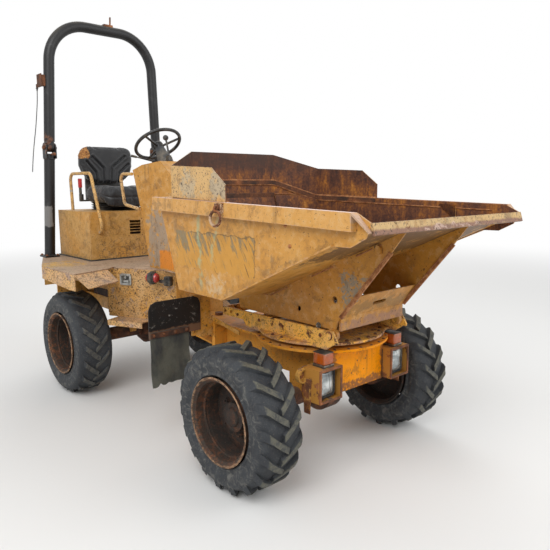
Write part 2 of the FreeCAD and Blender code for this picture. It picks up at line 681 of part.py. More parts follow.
# Turntable
def turntable():
    inner_y = RAIL_Y - RAIL_WALL
    front_low = RAIL_LOW_Z - 4
    outline = [
        (RAIL_REAR_X, RAIL_LOW_Z), (SLEW_X - CROSS_REACH - 40, RAIL_LOW_Z), (SLEW_X - CROSS_REACH, TURN_LOW_Z),
        (SLEW_X + CROSS_REACH - 10, TURN_LOW_Z), (TIP_X + 35, front_low), (RAIL_FRONT_X, front_low),
        (RAIL_FRONT_X, RAIL_LOW_Z + 10), (TIP_X + 24, RAIL_TOP_Z + 8), (RAIL_REAR_X, RAIL_TOP_Z),
    ]
    parts = [Part.makeCylinder(TURN_RADIUS, TURN_PLATE, V(SLEW_X, 0, TURN_LOW_Z))]
    ear = [(RAM_FOOT_X - 30, TURN_LOW_Z), (RAM_FOOT_X + 56, TURN_LOW_Z), (RAM_FOOT_X + 26, RAM_FOOT_Z + 24),
           (RAM_FOOT_X - 26, RAM_FOOT_Z + 24)]
    for side in (-1, 1):
        parts.append(plate(outline, "xz", *span(side, RAIL_Y, inner_y)))
        parts.append(plate(ear, "xz", *span(side, RAM_EYE_HALF + 1, RAM_EYE_HALF + 1 + RAM_EAR)))
        parts.append(bar((TIP_X, side * (UNDER_Y - UNDER_WALL - 10), TIP_Z), (TIP_X, side * (RAIL_Y + 12), TIP_Z),
                         TIP_PIN_RADIUS))
    parts.append(box(RAIL_REAR_X, RAIL_REAR_X + RAIL_WALL, -inner_y, inner_y, RAIL_LOW_Z, RAIL_TOP_Z))
    for x in (SLEW_X - CROSS_REACH, SLEW_X + CROSS_REACH - 100):
        parts.append(box(x, x + CROSS_BAR, -inner_y, inner_y, TURN_LOW_Z, TURN_TOP_Z))
    parts.append(box(RAM_FOOT_X - 30, SLEW_X - CROSS_REACH + 10, -70, 70, TURN_LOW_Z, TURN_TOP_Z))
    parts.append(bar((RAM_FOOT_X, -44, RAM_FOOT_Z), (RAM_FOOT_X, 44, RAM_FOOT_Z), RAM_PIN))
    holes = []
    for x, radius in ((RAIL_REAR_X + 22, 11), (RAIL_REAR_X + 78, 9)):
        holes.append(bar((x, -RAIL_Y - 5, RAIL_TOP_Z - 24), (x, RAIL_Y + 5, RAIL_TOP_Z - 24), radius))
    return union(parts).cut(holes[0]).cut(holes[1])


keep("turntable", turntable())


def ram(foot, eye, barrel_end, rod_end, barrel, rod, across):
    """Barrel and rod solids of a cylinder between two pin centres."""
    start = V(*foot)
    end = V(*eye)
    way = end - start
    length = way.Length
    way.normalize()
    across = V(*across)
    bore = RAM_PIN + RUNNING_FIT
    body = union([
        Part.makeCylinder(RAM_EYE_RADIUS, 2 * RAM_EYE_HALF, start - across * RAM_EYE_HALF, across),
        Part.makeCylinder(rod, RAM_NECK + 20, start, way),
        Part.makeCylinder(barrel, barrel_end - RAM_NECK, start + way * RAM_NECK, way),
        Part.makeCylinder(barrel + 5, 30, start + way * (barrel_end - 30), way),
    ])
    body = body.cut(Part.makeCylinder(rod + RUNNING_FIT, barrel_end, start + way * (RAM_NECK + RAM_END_WALL), way))
    body = body.cut(Part.makeCylinder(bore, 4 * RAM_EYE_HALF, start - across * 2 * RAM_EYE_HALF, across))
    stem = union([
        Part.makeCylinder(RAM_EYE_RADIUS, 2 * RAM_EYE_HALF, end - across * RAM_EYE_HALF, across),
        Part.makeCylinder(rod, length - rod_end, start + way * rod_end, way),
    ])
    stem = stem.cut(Part.makeCylinder(bore, 4 * RAM_EYE_HALF, end - across * 2 * RAM_EYE_HALF, across))
    return body, stem


barrel, rod = ram((RAM_FOOT_X, 0, RAM_FOOT_Z), (RAM_EYE_X, 0, RAM_EYE_Z), RAM_BARREL_END, RAM_ROD_END,
                  RAM_BARREL, RAM_ROD, (0, 1, 0))
keep("tip_ram_barrel", barrel)
keep("tip_ram_rod", rod)


# Skip
SPLAY = (RIM_FRONT_Y - RIM_REAR_Y) / (RIM_FRONT_X - RIM_REAR_X)
RIM_FALL = (RIM_FRONT_Z - RIM_REAR_Z) / (RIM_FRONT_X - RIM_REAR_X)


def skip_half(x):
    """Outer face of a side wall."""
    return RIM_REAR_Y - RIM_OUT + SPLAY * (x - RIM_REAR_X)


def inner_half(x):
    return skip_half(x) - SKIP_WALL


def floor_z(x):
    return SKIP_BOTTOM_Z + max(0.0, x - KNEE_X) * math.tan(FLOOR_SLOPE)


def rim_z(x):
    return RIM_REAR_Z + RIM_FALL * (x - RIM_REAR_X)


def back_x(z):
    """Outer face of the leaning back wall."""
    return BACK_FOOT_X - (z - SKIP_BOTTOM_Z) * (BACK_FOOT_X - BACK_HEAD_X) / (RIM_REAR_Z - SKIP_BOTTOM_Z)


def skip_side():
    """Side wall with a ledge folded out along its sloping lower edge."""
    head = rim_z(RIM_REAR_X) - 4
    dip_x = LIP_X - 107
    dip_z = floor_z(LIP_X) - 90
    ledge_x = LIP_X - 196
    outline = [
        (back_x(head), head), (BACK_FOOT_X, SKIP_BOTTOM_Z), (KNEE_X, SKIP_BOTTOM_Z), (ledge_x, floor_z(ledge_x) - 4),
        (dip_x, dip_z), (LIP_X - 26, dip_z + 42), (LIP_X, floor_z(LIP_X)), (LIP_X, LIP_TOP_Z),
        (RIM_FRONT_X, rim_z(RIM_FRONT_X) - 4),
    ]
    wall = panel([(x, skip_half(x), z) for x, z in outline], (0, -SKIP_WALL, 0))
    low = [(KNEE_X, SKIP_BOTTOM_Z), (ledge_x, floor_z(ledge_x) - 4)]
    fold = [(x, z + rise) for rise in (0, SKIP_WALL) for x, z in (low if rise == 0 else low[::-1])]
    ledge = panel([(x, skip_half(x) - 1, z) for x, z in fold], (0, LEDGE, 0))
    return union([wall, ledge])


def skip_floor():
    parts = []
    for rear, front in ((BACK_FOOT_X, KNEE_X), (KNEE_X, LIP_X)):
        corners = [(x, side * inner_half(x), floor_z(x))
                   for x, side in ((rear, 1), (front, 1), (front, -1), (rear, -1))]
        parts.append(panel(corners, (0, 0, SKIP_WALL)))
    return union(parts)


def skip_back():
    foot = SKIP_BOTTOM_Z + SKIP_WALL
    top = rim_z(RIM_REAR_X) - 4
    corners = [(foot, 1), (top, 1), (top, -1), (foot, -1)]
    return panel([(back_x(z), s * inner_half(back_x(z)), z) for z, s in corners], (SKIP_WALL, 0, 0))


def skip_rim():
    """Box section along a side wall's top, closed in front by a slanting edge plate."""
    corners = [(x, skip_half(x), rim_z(x)) for x in (RIM_REAR_X, RIM_FRONT_X)]
    corners += [(x, skip_half(x), rim_z(x) - RIM_DEPTH) for x in (RIM_FRONT_X, RIM_REAR_X)]
    section = panel(corners, (0, RIM_OUT, 0))
    foot_x = LIP_X + 8
    y = skip_half(foot_x)
    top_z = rim_z(RIM_FRONT_X)
    foot_z = LIP_TOP_Z - LIP_DROP + 10
    slant = V(foot_x - RIM_FRONT_X, 0, foot_z - top_z).normalize()
    inwards = (slant.z * EDGE_PLATE, 0, -slant.x * EDGE_PLATE)
    edge = panel([(RIM_FRONT_X, y, top_z), (RIM_FRONT_X, y + RIM_OUT, top_z), (foot_x, y + 14, foot_z),
                  (foot_x, y, foot_z)], inwards)
    return union([section, edge])


def guard():
    """Back plate, cut corner and side plate of one half, over a gusset at the rim's level."""
    foot_z = rim_z(RIM_REAR_X)
    foot_x = RIM_REAR_X + GUARD_LEAN
    side_y = skip_half(GUARD_CORNER_X) + GUARD_WALL
    corner_y = side_y + GUARD_WALL / 2
    front_y = skip_half(GUARD_FRONT_X) + GUARD_WALL
    slope_y = skip_half(GUARD_SLOPE_X) + GUARD_WALL
    wall = (GUARD_WALL, 0, 0)
    return [
        panel([(foot_x, 0, foot_z), (foot_x, GUARD_HALF_Y, foot_z), (RIM_REAR_X, GUARD_HALF_Y, GUARD_BACK_Z),
               (RIM_REAR_X, 0, GUARD_BACK_Z)], wall),
        panel([(foot_x, GUARD_HALF_Y, foot_z), (GUARD_CORNER_X, corner_y, foot_z),
               (GUARD_CORNER_X, corner_y, GUARD_SIDE_Z)], wall),
        panel([(foot_x, GUARD_HALF_Y, foot_z), (GUARD_CORNER_X, corner_y, GUARD_SIDE_Z),
               (RIM_REAR_X, GUARD_HALF_Y, GUARD_BACK_Z)], wall),
        panel([(GUARD_CORNER_X, side_y, foot_z), (GUARD_CORNER_X, side_y, GUARD_SIDE_Z),
               (GUARD_SLOPE_X, slope_y, GUARD_SIDE_Z - 20), (GUARD_FRONT_X, front_y, GUARD_FRONT_Z),
               (GUARD_FRONT_X, front_y, rim_z(GUARD_FRONT_X))], (0, GUARD_WALL, 0)),
        panel([(foot_x, GUARD_HALF_Y, foot_z - 4), (foot_x, side_y, foot_z - 4),
               (GUARD_CORNER_X + GUARD_WALL, side_y, foot_z - 4)], (0, 0, 4)),
    ]


def spill_guard():
    half = union(guard())
    whole = union([half, mirrored(half)])
    for shape in both(skip_rim()) + both(skip_side()) + [skip_back()]:
        whole = whole.cut(shape)
    return whole


def skip_lip():
    """Bar across the front edge, its front face leaning forward."""
    half = skip_half(LIP_X)
    outline = [(LIP_X, LIP_TOP_Z - 21), (LIP_X, LIP_TOP_Z), (LIP_X + 8, LIP_TOP_Z),
               (LIP_X + LIP_REACH, LIP_TOP_Z - LIP_DROP), (LIP_X + LIP_REACH - 10, LIP_TOP_Z - LIP_DROP - 4)]
    return panel([(x, -half, z) for x, z in outline], (0, 2 * half, 0))


def lifting_lug():
    y = skip_half(LUG_X + LUG_HALF) + RIM_OUT
    z = rim_z(LUG_X) - 30
    body = box(LUG_X - LUG_HALF, LUG_X + LUG_HALF, y, y + LUG_PLATE, z - 25, z + 25)
    return body.cut(bar((LUG_X, y - 5, z), (LUG_X, y + LUG_PLATE + 5, z), LUG_BORE))


keep("skip_side_right", mirrored(skip_side()))
keep("skip_side_left", skip_side())
keep("skip_floor", skip_floor())
keep("skip_back", skip_back())
keep("skip_rims", *both(skip_rim()))
keep("spill_guard", spill_guard())
keep("skip_lip", skip_lip())
keep("lifting_lugs", *both(lifting_lug()))


def cross_plate():
    """Slanting plate behind the cross rail, with its round-ended slot."""
    low = V(TIP_X + 34, 0, CROSS_RAIL_TOP_Z)
    high = V(TIP_X + 118, 0, CROSS_RAIL_TOP_Z + 120)
    inner = UNDER_Y - UNDER_WALL
    body = plate([(low.x, low.z), (low.x + CROSS_RAIL, low.z), (high.x + CROSS_RAIL, high.z), (high.x, high.z)],
                 "xz", -inner, inner)
    up = (high - low).normalize()
    out = V(up.z, 0, -up.x)
    middle = (low + high) * 0.5
    slot = []
    for side in (-1, 1):
        centre = middle + V(0, side * SLOT_HALF, 0) - out * 30
        slot.append(Part.makeCylinder(SLOT_RADIUS, 60, centre, out))
    corners = [middle + V(0, side * SLOT_HALF, 0) + up * (rise * SLOT_RADIUS) - out * 30
               for side, rise in ((-1, -1), (1, -1), (1, 1), (-1, 1))]
    slot.append(panel([tuple(c) for c in corners], tuple(out * 60)))
    return body.cut(union(slot))


def under_frame():
    """Two long plates under the floor, with the pivot bosses, the cross rail and the ram's ears."""
    front_x = LIP_X - 80
    outline = [
        (UNDER_REAR_X, UNDER_LOW_Z), (TIP_X + 14, UNDER_LOW_Z), (TIP_X + 47, UNDER_LOW_Z + 75),
        (front_x - 81, floor_z(front_x) - 104), (front_x, floor_z(front_x)), (KNEE_X, SKIP_BOTTOM_Z),
        (UNDER_REAR_X - 20, SKIP_BOTTOM_Z),
    ]
    ear = [(RAM_EYE_X - 30, RAM_EYE_Z - 26), (RAM_EYE_X + 30, RAM_EYE_Z - 26),
           (RAM_EYE_X + 90, floor_z(RAM_EYE_X + 90)), (RAM_EYE_X - 90, floor_z(RAM_EYE_X - 90))]
    inner = UNDER_Y - UNDER_WALL
    ear_y = RAM_EYE_HALF + RAM_EAR_GAP
    rail_x = TIP_X + 35
    parts = []
    for side in (-1, 1):
        parts.append(plate(outline, "xz", *span(side, UNDER_Y, inner)))
        parts.append(bar((TIP_X, side * (inner - 8), TIP_Z), (TIP_X, side * (UNDER_Y + 8), TIP_Z), TIP_BOSS_RADIUS))
        parts.append(plate(ear, "xz", *span(side, ear_y, ear_y + RAM_EAR)))
    parts += [
        box(rail_x, rail_x + CROSS_RAIL, -inner, inner, UNDER_LOW_Z, CROSS_RAIL_TOP_Z),
        box(rail_x - 28, rail_x + CROSS_RAIL, -inner, inner, CROSS_RAIL_TOP_Z - 10, CROSS_RAIL_TOP_Z),
        box(UNDER_REAR_X, UNDER_REAR_X + CROSS_RAIL, -inner, inner, UNDER_LOW_Z, SKIP_BOTTOM_Z),
        cross_plate(),
    ]
    whole = union(parts)
    for x, z, radius in ((TIP_X, TIP_Z, TIP_PIN_RADIUS + RUNNING_FIT), (RAM_EYE_X, RAM_EYE_Z, RAM_PIN),
                         (TIP_X + 11, TIP_Z + 185, 17)):
        whole = whole.cut(bar((x, -UNDER_Y - 50, z), (x, UNDER_Y + 50, z), radius))
    buffer_x = front_x - 158
    buffer_z = floor_z(front_x) - 102
    buffers = [bar((buffer_x, side * (UNDER_Y - 2), buffer_z), (buffer_x, side * (UNDER_Y + 16), buffer_z),
                   BUFFER_RADIUS) for side in (-1, 1)]
    return union([whole] + buffers)


keep("skip_under_frame", under_frame())


# Rear chassis
def panel_y(x):
    """Outer face of the tapered side panel."""
    return PANEL_FRONT_Y + (PANEL_REAR_Y - PANEL_FRONT_Y) * (PANEL_FRONT_X - x) / (PANEL_FRONT_X - PANEL_REAR_X)


def rear_frame():
    """Beams, neck, nose plate, yoke, axle saddles, tail plate, tow hitch and the steering ram's foot."""
    low_z = REAR_BEAM_LOW_Z
    high_z = REAR_BEAM_HIGH_Z
    parts = [
        box(PANEL_FRONT_X, PANEL_FRONT_X + NOSE, -PANEL_FRONT_Y, PANEL_FRONT_Y, low_z, DECK_LOW_Z),
        box(DECK_REAR_X, DECK_REAR_X + TAIL, -PANEL_REAR_Y, PANEL_REAR_Y, low_z, DECK_LOW_Z),
        box(NECK_REAR_X - NOSE, NECK_REAR_X, -BEAM_OUT_Y, BEAM_OUT_Y, low_z, high_z),
    ]
    for side in (-1, 1):
        parts.append(box(DECK_REAR_X, NECK_REAR_X, *span(side, BEAM_IN_Y, BEAM_OUT_Y), low_z, high_z))
        parts.append(box(NECK_REAR_X, PANEL_FRONT_X, *span(side, NECK_Y, NECK_Y + NOSE), low_z, high_z))
    heights = (YOKE_LOW_Z + YOKE_PLATE + YOKE_GAP, YOKE_TOP_Z - 2 * YOKE_PLATE - YOKE_GAP)
    parts += yoke(PANEL_FRONT_X, 120, heights)
    parts += axle_seats(REAR_AXLE_X, low_z)
    for z in (HITCH_LOW_Z, HITCH_LOW_Z + HITCH_GAP):
        parts.append(box(HITCH_X, DECK_REAR_X, -HITCH_RADIUS, HITCH_RADIUS, z, z + HITCH_PLATE))
        parts.append(Part.makeCylinder(HITCH_RADIUS, HITCH_PLATE, V(HITCH_X, 0, z)))
    window = box(PANEL_FRONT_X - 5, PANEL_FRONT_X + NOSE + 5, -STEER_ARM - 60, -STEER_ARM + 55,
                 STEER_Z - 45, STEER_Z + 45)
    whole = union(parts).cut(window)
    feet = []
    for z in (STEER_Z - RAM_EYE_HALF - 1 - RAM_EAR, STEER_Z + RAM_EYE_HALF + 1):
        feet.append(box(NECK_REAR_X - 5, STEER_FOOT_X + 28, -STEER_ARM - 35, -STEER_ARM + 35, z, z + RAM_EAR))
    pin_half = RAM_EYE_HALF + RAM_EAR + 3
    feet.append(Part.makeCylinder(RAM_PIN, 2 * pin_half, V(STEER_FOOT_X, -STEER_ARM, STEER_Z - pin_half)))
    whole = union([whole] + feet)
    whole = whole.cut(Part.makeCylinder(PIN_RADIUS, YOKE_TOP_Z - YOKE_LOW_Z, V(0, 0, YOKE_LOW_Z)))
    return whole.cut(Part.makeCylinder(HITCH_PIN, HITCH_GAP + 100, V(HITCH_X, 0, HITCH_LOW_Z - 50)))


def step():
    """Tread plate with a folded edge, carried on the tapered panel of one side."""
    outer = [(x, panel_y(x) + STEP_DEPTH) for x in (STEP_REAR_X + STEP_SWEEP, STEP_FRONT_X + STEP_SWEEP)]
    inner = [(x, panel_y(x)) for x in (STEP_FRONT_X, STEP_REAR_X)]
    tread = plate(outer + inner, "xy", STEP_Z - STEP_WALL, STEP_Z)
    lip = plate(outer + [(x, y - STEP_WALL) for x, y in reversed(outer)], "xy", STEP_Z - STEP_LIP, STEP_Z)
    return union([tread, lip])


def side_panels():
    """Tapered panels, the floor between them and the straight panels beside the engine."""
    low_z = PANEL_LOW_Z
    floor_low = REAR_BEAM_HIGH_Z
    floor = plate([(PANEL_REAR_X, -PANEL_REAR_Y), (PANEL_FRONT_X, -PANEL_FRONT_Y), (PANEL_FRONT_X, PANEL_FRONT_Y),
                   (PANEL_REAR_X, PANEL_REAR_Y)], "xy", floor_low, floor_low + FLOOR)
    parts = [floor, box(PANEL_REAR_X - FLOOR, PANEL_REAR_X, -PANEL_REAR_Y, PANEL_REAR_Y, floor_low, DECK_LOW_Z)]
    outline = [(PANEL_REAR_X, PANEL_REAR_Y), (PANEL_FRONT_X, PANEL_FRONT_Y),
               (PANEL_FRONT_X, PANEL_FRONT_Y - PANEL), (PANEL_REAR_X, PANEL_REAR_Y - PANEL)]
    half = [plate(outline, "xy", low_z, DECK_LOW_Z)]
    half.append(box(DECK_REAR_X + TAIL, PANEL_REAR_X, PANEL_REAR_Y - PANEL, PANEL_REAR_Y, PANEL_STEP_Z, DECK_LOW_Z))
    for shape in half:
        parts += both(shape)
    return union(parts)


keep("rear_frame", rear_frame())
keep("side_panels", side_panels())
keep("steps", *both(step()))
keep("articulation_pin", Part.makeCylinder(PIN_RADIUS, YOKE_TOP_Z - YOKE_LOW_Z + 2 * PIN_HEAD,
                                           V(0, 0, YOKE_LOW_Z - PIN_HEAD)))
barrel, rod = ram((STEER_FOOT_X, -STEER_ARM, STEER_Z), (0, -STEER_ARM, STEER_Z), STEER_BARREL_END, STEER_ROD_END,
                  STEER_BARREL, STEER_ROD, (0, 0, 1))
keep("steer_ram_barrel", barrel)
keep("steer_ram_rod", rod)
keep("engine_block", box(COVER_REAR_X + 125, COVER_FRONT_X - 96, -BEAM_OUT_Y + 5, BEAM_OUT_Y - 5,
                         REAR_BEAM_HIGH_Z, COVER_TOP_Z - 156))


def deck():
    """Deck plate with the engine bay cut out and the cover's hinge lugs."""
    neck_x = PANEL_REAR_X + 60
    outline = [
        (NOSE_X, CONSOLE_Y), (DECK_NECK_X, CONSOLE_Y), (neck_x, panel_y(neck_x) + 4), (DECK_INNER_X, DECK_INNER_Y),
        (DECK_FRONT_X, DECK_EDGE_Y), (DECK_CHAMFER_X, DECK_EDGE_Y), (DECK_REAR_X, DECK_CHAMFER_Y),
    ]
    outline += [(x, -y) for x, y in reversed(outline)]
    bay = COVER_Y - 30
    floor = plate(outline, "xy", DECK_LOW_Z, DECK_Z)
    hole = box(COVER_REAR_X + 40, COVER_FRONT_X - 30, -bay, bay, DECK_LOW_Z - 5, DECK_Z + 5)
    parts = [floor.cut(hole)]
    for side in (-1, 1):
        low, high = span(side, HINGE_Y, HINGE_Y + 20)
        parts.append(box(HINGE_X - 10, HINGE_X + 7, low, high, DECK_LOW_Z, HINGE_Z + 8))
        parts.append(bar((HINGE_X, side * HINGE_Y, HINGE_Z),
                         (HINGE_X, side * (HINGE_Y + KNUCKLE_LENGTH + 24), HINGE_Z), HINGE_PIN))
    return union(parts)


def fender_skirt():
    """Folded edge of the deck over one rear wheel, with its sloping front leaf."""
    edge = plate([(DECK_CHAMFER_X, DECK_LOW_Z), (DECK_FRONT_X, DECK_LOW_Z), (DECK_FRONT_X, SKIRT_LOW_Z - 20),
                  (SKIRT_DIP_X, SKIRT_LOW_Z - SKIRT_DIP), (DECK_CHAMFER_X, SKIRT_LOW_Z)], "xz",
                 DECK_EDGE_Y - SKIRT_WALL, DECK_EDGE_Y)
    rear = plate([(DECK_CHAMFER_X, DECK_EDGE_Y), (DECK_REAR_X, DECK_CHAMFER_Y),
                  (DECK_REAR_X, DECK_CHAMFER_Y - 8), (DECK_CHAMFER_X, DECK_EDGE_Y - 8)], "xy",
                 SKIRT_LOW_Z, DECK_LOW_Z)
    corner = (DECK_FRONT_X, DECK_EDGE_Y, DECK_LOW_Z)
    slot = (FLAP_SLOT_X, FLAP_SLOT_Y, FLAP_TIP_Z - 2)
    down = (0, 0, -SKIRT_WALL)
    leaf = panel([corner, (FLAP_TIP_X, DECK_EDGE_Y - 15, FLAP_TIP_Z), slot], down)
    inner = panel([corner, slot, (DECK_INNER_X, DECK_INNER_Y, DECK_LOW_Z)], down)
    return union([edge, rear, leaf, inner])


def rear_panel():
    """Sheet under the deck's rear edge, arched over the hitch."""
    sheet = box(DECK_REAR_X - REAR_PANEL, DECK_REAR_X, -DECK_CHAMFER_Y, DECK_CHAMFER_Y, REAR_PANEL_LOW_Z, DECK_Z)
    arch = box(DECK_REAR_X - 20, DECK_REAR_X + 20, -REAR_PANEL_ARCH_Y, REAR_PANEL_ARCH_Y,
               REAR_PANEL_LOW_Z - 20, REAR_PANEL_ARCH_Z)
    return sheet.cut(arch)


keep("rear_deck", deck())
keep("rear_fenders", *both(fender_skirt()))
keep("rear_panel", rear_panel())


# Engine cover, its seat and its handle
def cover_outside():
    return box(COVER_REAR_X, COVER_FRONT_X, -COVER_Y, COVER_Y, DECK_Z + SEAM, COVER_TOP_Z)


def engine_cover():
    """Open-bottomed box with a grille in its front face and two hinge knuckles behind."""
    inner = box(COVER_REAR_X + COVER_WALL, COVER_FRONT_X - COVER_WALL, -COVER_Y + COVER_WALL,
                COVER_Y - COVER_WALL, DECK_Z, COVER_TOP_Z - COVER_WALL)
    vent = box(COVER_FRONT_X - 10, COVER_FRONT_X + 5, VENT_Y - VENT_HALF_Y, VENT_Y + VENT_HALF_Y,
               VENT_Z - VENT_HALF_Z, VENT_Z + VENT_HALF_Z)
    parts = [cover_outside().cut(inner).cut(vent)]
    pitch = 2 * VENT_HALF_Z / VENT_BARS
    for number in range(1, VENT_BARS):
        z = VENT_Z - VENT_HALF_Z + number * pitch
        parts.append(box(COVER_FRONT_X - COVER_WALL, COVER_FRONT_X - 1, VENT_Y - VENT_HALF_Y - 2,
                         VENT_Y + VENT_HALF_Y + 2, z - 3, z + 3))
    far = HINGE_Y + KNUCKLE_LENGTH + 22
    for y in (-far, far - KNUCKLE_LENGTH):
        parts.append(bar((HINGE_X, y, HINGE_Z), (HINGE_X, y + KNUCKLE_LENGTH, HINGE_Z), HINGE_KNUCKLE))
        parts.append(box(HINGE_X, COVER_REAR_X + 2, y, y + KNUCKLE_LENGTH, HINGE_Z, HINGE_Z + HINGE_KNUCKLE))
    pin = bar((HINGE_X, -far - 70, HINGE_Z), (HINGE_X, far + 70, HINGE_Z), HINGE_PIN + RUNNING_FIT)
    return union(parts).cut(pin)


def seat_back():
    low = SEAT_Y - SEAT_HALF
    high = SEAT_Y + SEAT_HALF
    shoulder = BACK_TOP_Z - BACK_CORNER
    outline = [(low, CUSHION_TOP_Z + 10), (high, CUSHION_TOP_Z + 10), (high, shoulder),
               (high - BACK_CORNER, BACK_TOP_Z), (low + BACK_CORNER, BACK_TOP_Z), (low, shoulder)]
    return plate(outline, "yz", SEAT_REAR_X, SEAT_REAR_X + 105)


def seat_frame():
    """Pressed back shell on an angle under the cushion."""
    low = SEAT_Y - SEAT_HALF + 85
    high = SEAT_Y + SEAT_HALF - 85
    back = box(SEAT_REAR_X - 25, SEAT_REAR_X - SEAM, low, high, BELLOWS_TOP_Z, BACK_TOP_Z - 50)
    foot = box(SEAT_REAR_X - 25, CUSHION_REAR_X - SEAM, low, high, BELLOWS_TOP_Z, BELLOWS_TOP_Z + 14)
    return union([back, foot])


def seat_handle():
    """Grab rail that rises behind the seat's side, runs forward and hooks onto the cover's front."""
    y = HANDLE_Y
    top = COVER_TOP_Z + 309
    route = [(SEAT_REAR_X + 45, y, COVER_TOP_Z - 20), (SEAT_REAR_X + 25, y, top), (COVER_FRONT_X - 116, y, top),
             (COVER_FRONT_X + 64, y, COVER_TOP_Z - 146), (COVER_FRONT_X - 20, y, COVER_TOP_Z - 179)]
    return bent_tube(route, 60, HANDLE_RADIUS).cut(cover_outside())


keep("engine_cover", engine_cover())
keep("seat_bellows", box(CUSHION_REAR_X, CUSHION_REAR_X + 310, SEAT_Y - BELLOWS_HALF, SEAT_Y + BELLOWS_HALF,
                         COVER_TOP_Z, BELLOWS_TOP_Z))
keep("seat_cushion", box(CUSHION_REAR_X, CUSHION_FRONT_X, SEAT_Y - SEAT_HALF, SEAT_Y + SEAT_HALF,
                         BELLOWS_TOP_Z + SEAM, CUSHION_TOP_Z))
keep("seat_back", seat_back())
keep("seat_frame", seat_frame())
keep("belt_buckle", box(CUSHION_REAR_X + 20, CUSHION_REAR_X + 50, SEAT_Y - SEAT_HALF - 27,
                        SEAT_Y - SEAT_HALF - SEAM, CUSHION_TOP_Z - 10, CUSHION_TOP_Z + 70))
keep("seat_handle", seat_handle())


# Console and steering
def console_solid(inset, foot_z):
    """The console's side profile across its width, drawn in by inset."""
    x = CONSOLE_FRONT_X - inset
    outline = [(x, foot_z), (x, CONSOLE_BROW_Z - 0.7 * inset), (CONSOLE_FRONT_X - 162, CONSOLE_BROW_Z + 116 - inset),
               (CONSOLE_FRONT_X - 420 + 0.3 * inset, CONSOLE_BROW_Z + 95 - 1.2 * inset),
               (CONSOLE_FRONT_X - 560 + 1.4 * inset, CONSOLE_BROW_Z + 60 - 0.8 * inset),
               (CONSOLE_FRONT_X - 459 + inset, DECK_Z + 422), (CONSOLE_FRONT_X - 351 + inset, foot_z)]
    return plate(outline, "xz", -CONSOLE_Y + inset, CONSOLE_Y - inset)


def console():
    return console_solid(0, DECK_Z).cut(console_solid(CONSOLE_WALL, DECK_Z - 5))


def steering_column():
    """Flared shroud between the console's hood and the wheel."""
    foot = wheel_centre - tilt * 215
    parts = [Part.makeCone(60, 46, 110, foot, tilt), Part.makeCone(46, 36, 60, foot + tilt * 110, tilt)]
    bore = Part.makeCylinder(SHAFT_RADIUS + SEAM, 400, wheel_centre - tilt * 300, tilt)
    return union(parts).cut(bore).cut(console_solid(0, DECK_Z))


def steering_wheel():
    """Rim, boss, shaft and dished spokes."""
    parts = [
        Part.makeTorus(WHEEL_RADIUS - WHEEL_GRIP, WHEEL_GRIP, wheel_centre, tilt),
        Part.makeCone(26, 36, 35, wheel_centre - tilt * 44, tilt),
        Part.makeCylinder(SHAFT_RADIUS, 60, wheel_centre - tilt * 100, tilt),
    ]
    for number in range(SPOKES):
        way = FreeCAD.Rotation(tilt, 90 + 360 / SPOKES * number).multVec(V(0, 1, 0))
        parts.append(Part.makeCylinder(9, WHEEL_RADIUS - 20, wheel_centre - tilt * 30, way + tilt * 0.16))
    return union(parts)


def control_levers():
    """Lever with a knob, standing in a round boot on the console's hood."""
    foot = V(CONSOLE_FRONT_X - 190, -150, CONSOLE_BROW_Z + 100)
    way = V(-0.3, 0, 1).normalize()
    boot = Part.makeCone(26, 14, 50, foot, V(0, 0, 1))
    lever = Part.makeCylinder(7, 165, foot + V(0, 0, 20), way)
    knob = Part.makeSphere(20, foot + V(0, 0, 20) + way * 172)
    return union([boot, lever, knob]).cut(console_solid(0, DECK_Z))


def console_handle():
    """Grab handle beside the console, its feet bent in to the side wall."""
    y = CONSOLE_HANDLE_Y
    x = CONSOLE_FRONT_X - 551
    z = CONSOLE_BROW_Z + 31
    return bent_tube([(x, y, z), (x - 189, y, z + 3), (x - 134, y, z - 231), (x + 101, y, z - 262)], 45, 12)


tilt = V(-math.sin(WHEEL_TILT), 0, math.cos(WHEEL_TILT))
wheel_centre = V(WHEEL_X, 0, WHEEL_Z)
keep("console", console())
keep("steering_column", steering_column())
keep("steering_wheel", steering_wheel())
keep("console_handle", console_handle())
keep("control_levers", control_levers())


def on_panel(shape, x):
    """Puts a shape drawn with the panel along X and outwards along Y onto the left panel at x."""
    slope = math.degrees(math.atan2(PANEL_FRONT_Y - PANEL_REAR_Y, PANEL_FRONT_X - PANEL_REAR_X))
    placed = shape.copy()
    placed.rotate(V(0, 0, 0), V(0, 0, 1), slope)
    placed.translate(V(x, panel_y(x), 0))
    return placed


def marker_lamp():
    """Round side lamp with a domed lens each way, on an arm and a foot plate."""
    z = DECK_Z - 60
    dome = [(0, -34), (18, -30), (27, -18), (27, -9), (33, -9), (33, 9), (27, 9), (27, 18), (18, 30), (0, 34)]
    body = turned(dome, (0, 46, z), (1, 0, 0))
    arm = box(26, 74, 14, 30, z - 28, z - 12)
    foot = box(50, 88, 0, 30, z - 42, z + 6)
    return union([body, arm, foot, box(-9, 60, 26, 40, z - 34, z - 16)])


def latch():
    """Catch plate with a square finger opening."""
    low = DECK_Z - 133
    frame = box(-50, 50, 0, 12, low, low + 86)
    return frame.cut(box(-42, 2, 4, 20, low + 24, low + 64))


keep("marker_lamps", *both(on_panel(marker_lamp(), REAR_AXLE_X + 615)))
keep("latches", *both(on_panel(latch(), REAR_AXLE_X + 390)))


# Roll bar, leaning forward and tapering upwards
def bar_y(z):
    return BAR_FOOT_Y - (z - DECK_Z) * math.tan(BAR_TAPER)


def bar_x(z):
    return BAR_X + (z - DECK_Z) * math.tan(BAR_LEAN)


def on_bar(z):
    return (bar_x(z), bar_y(z), z)


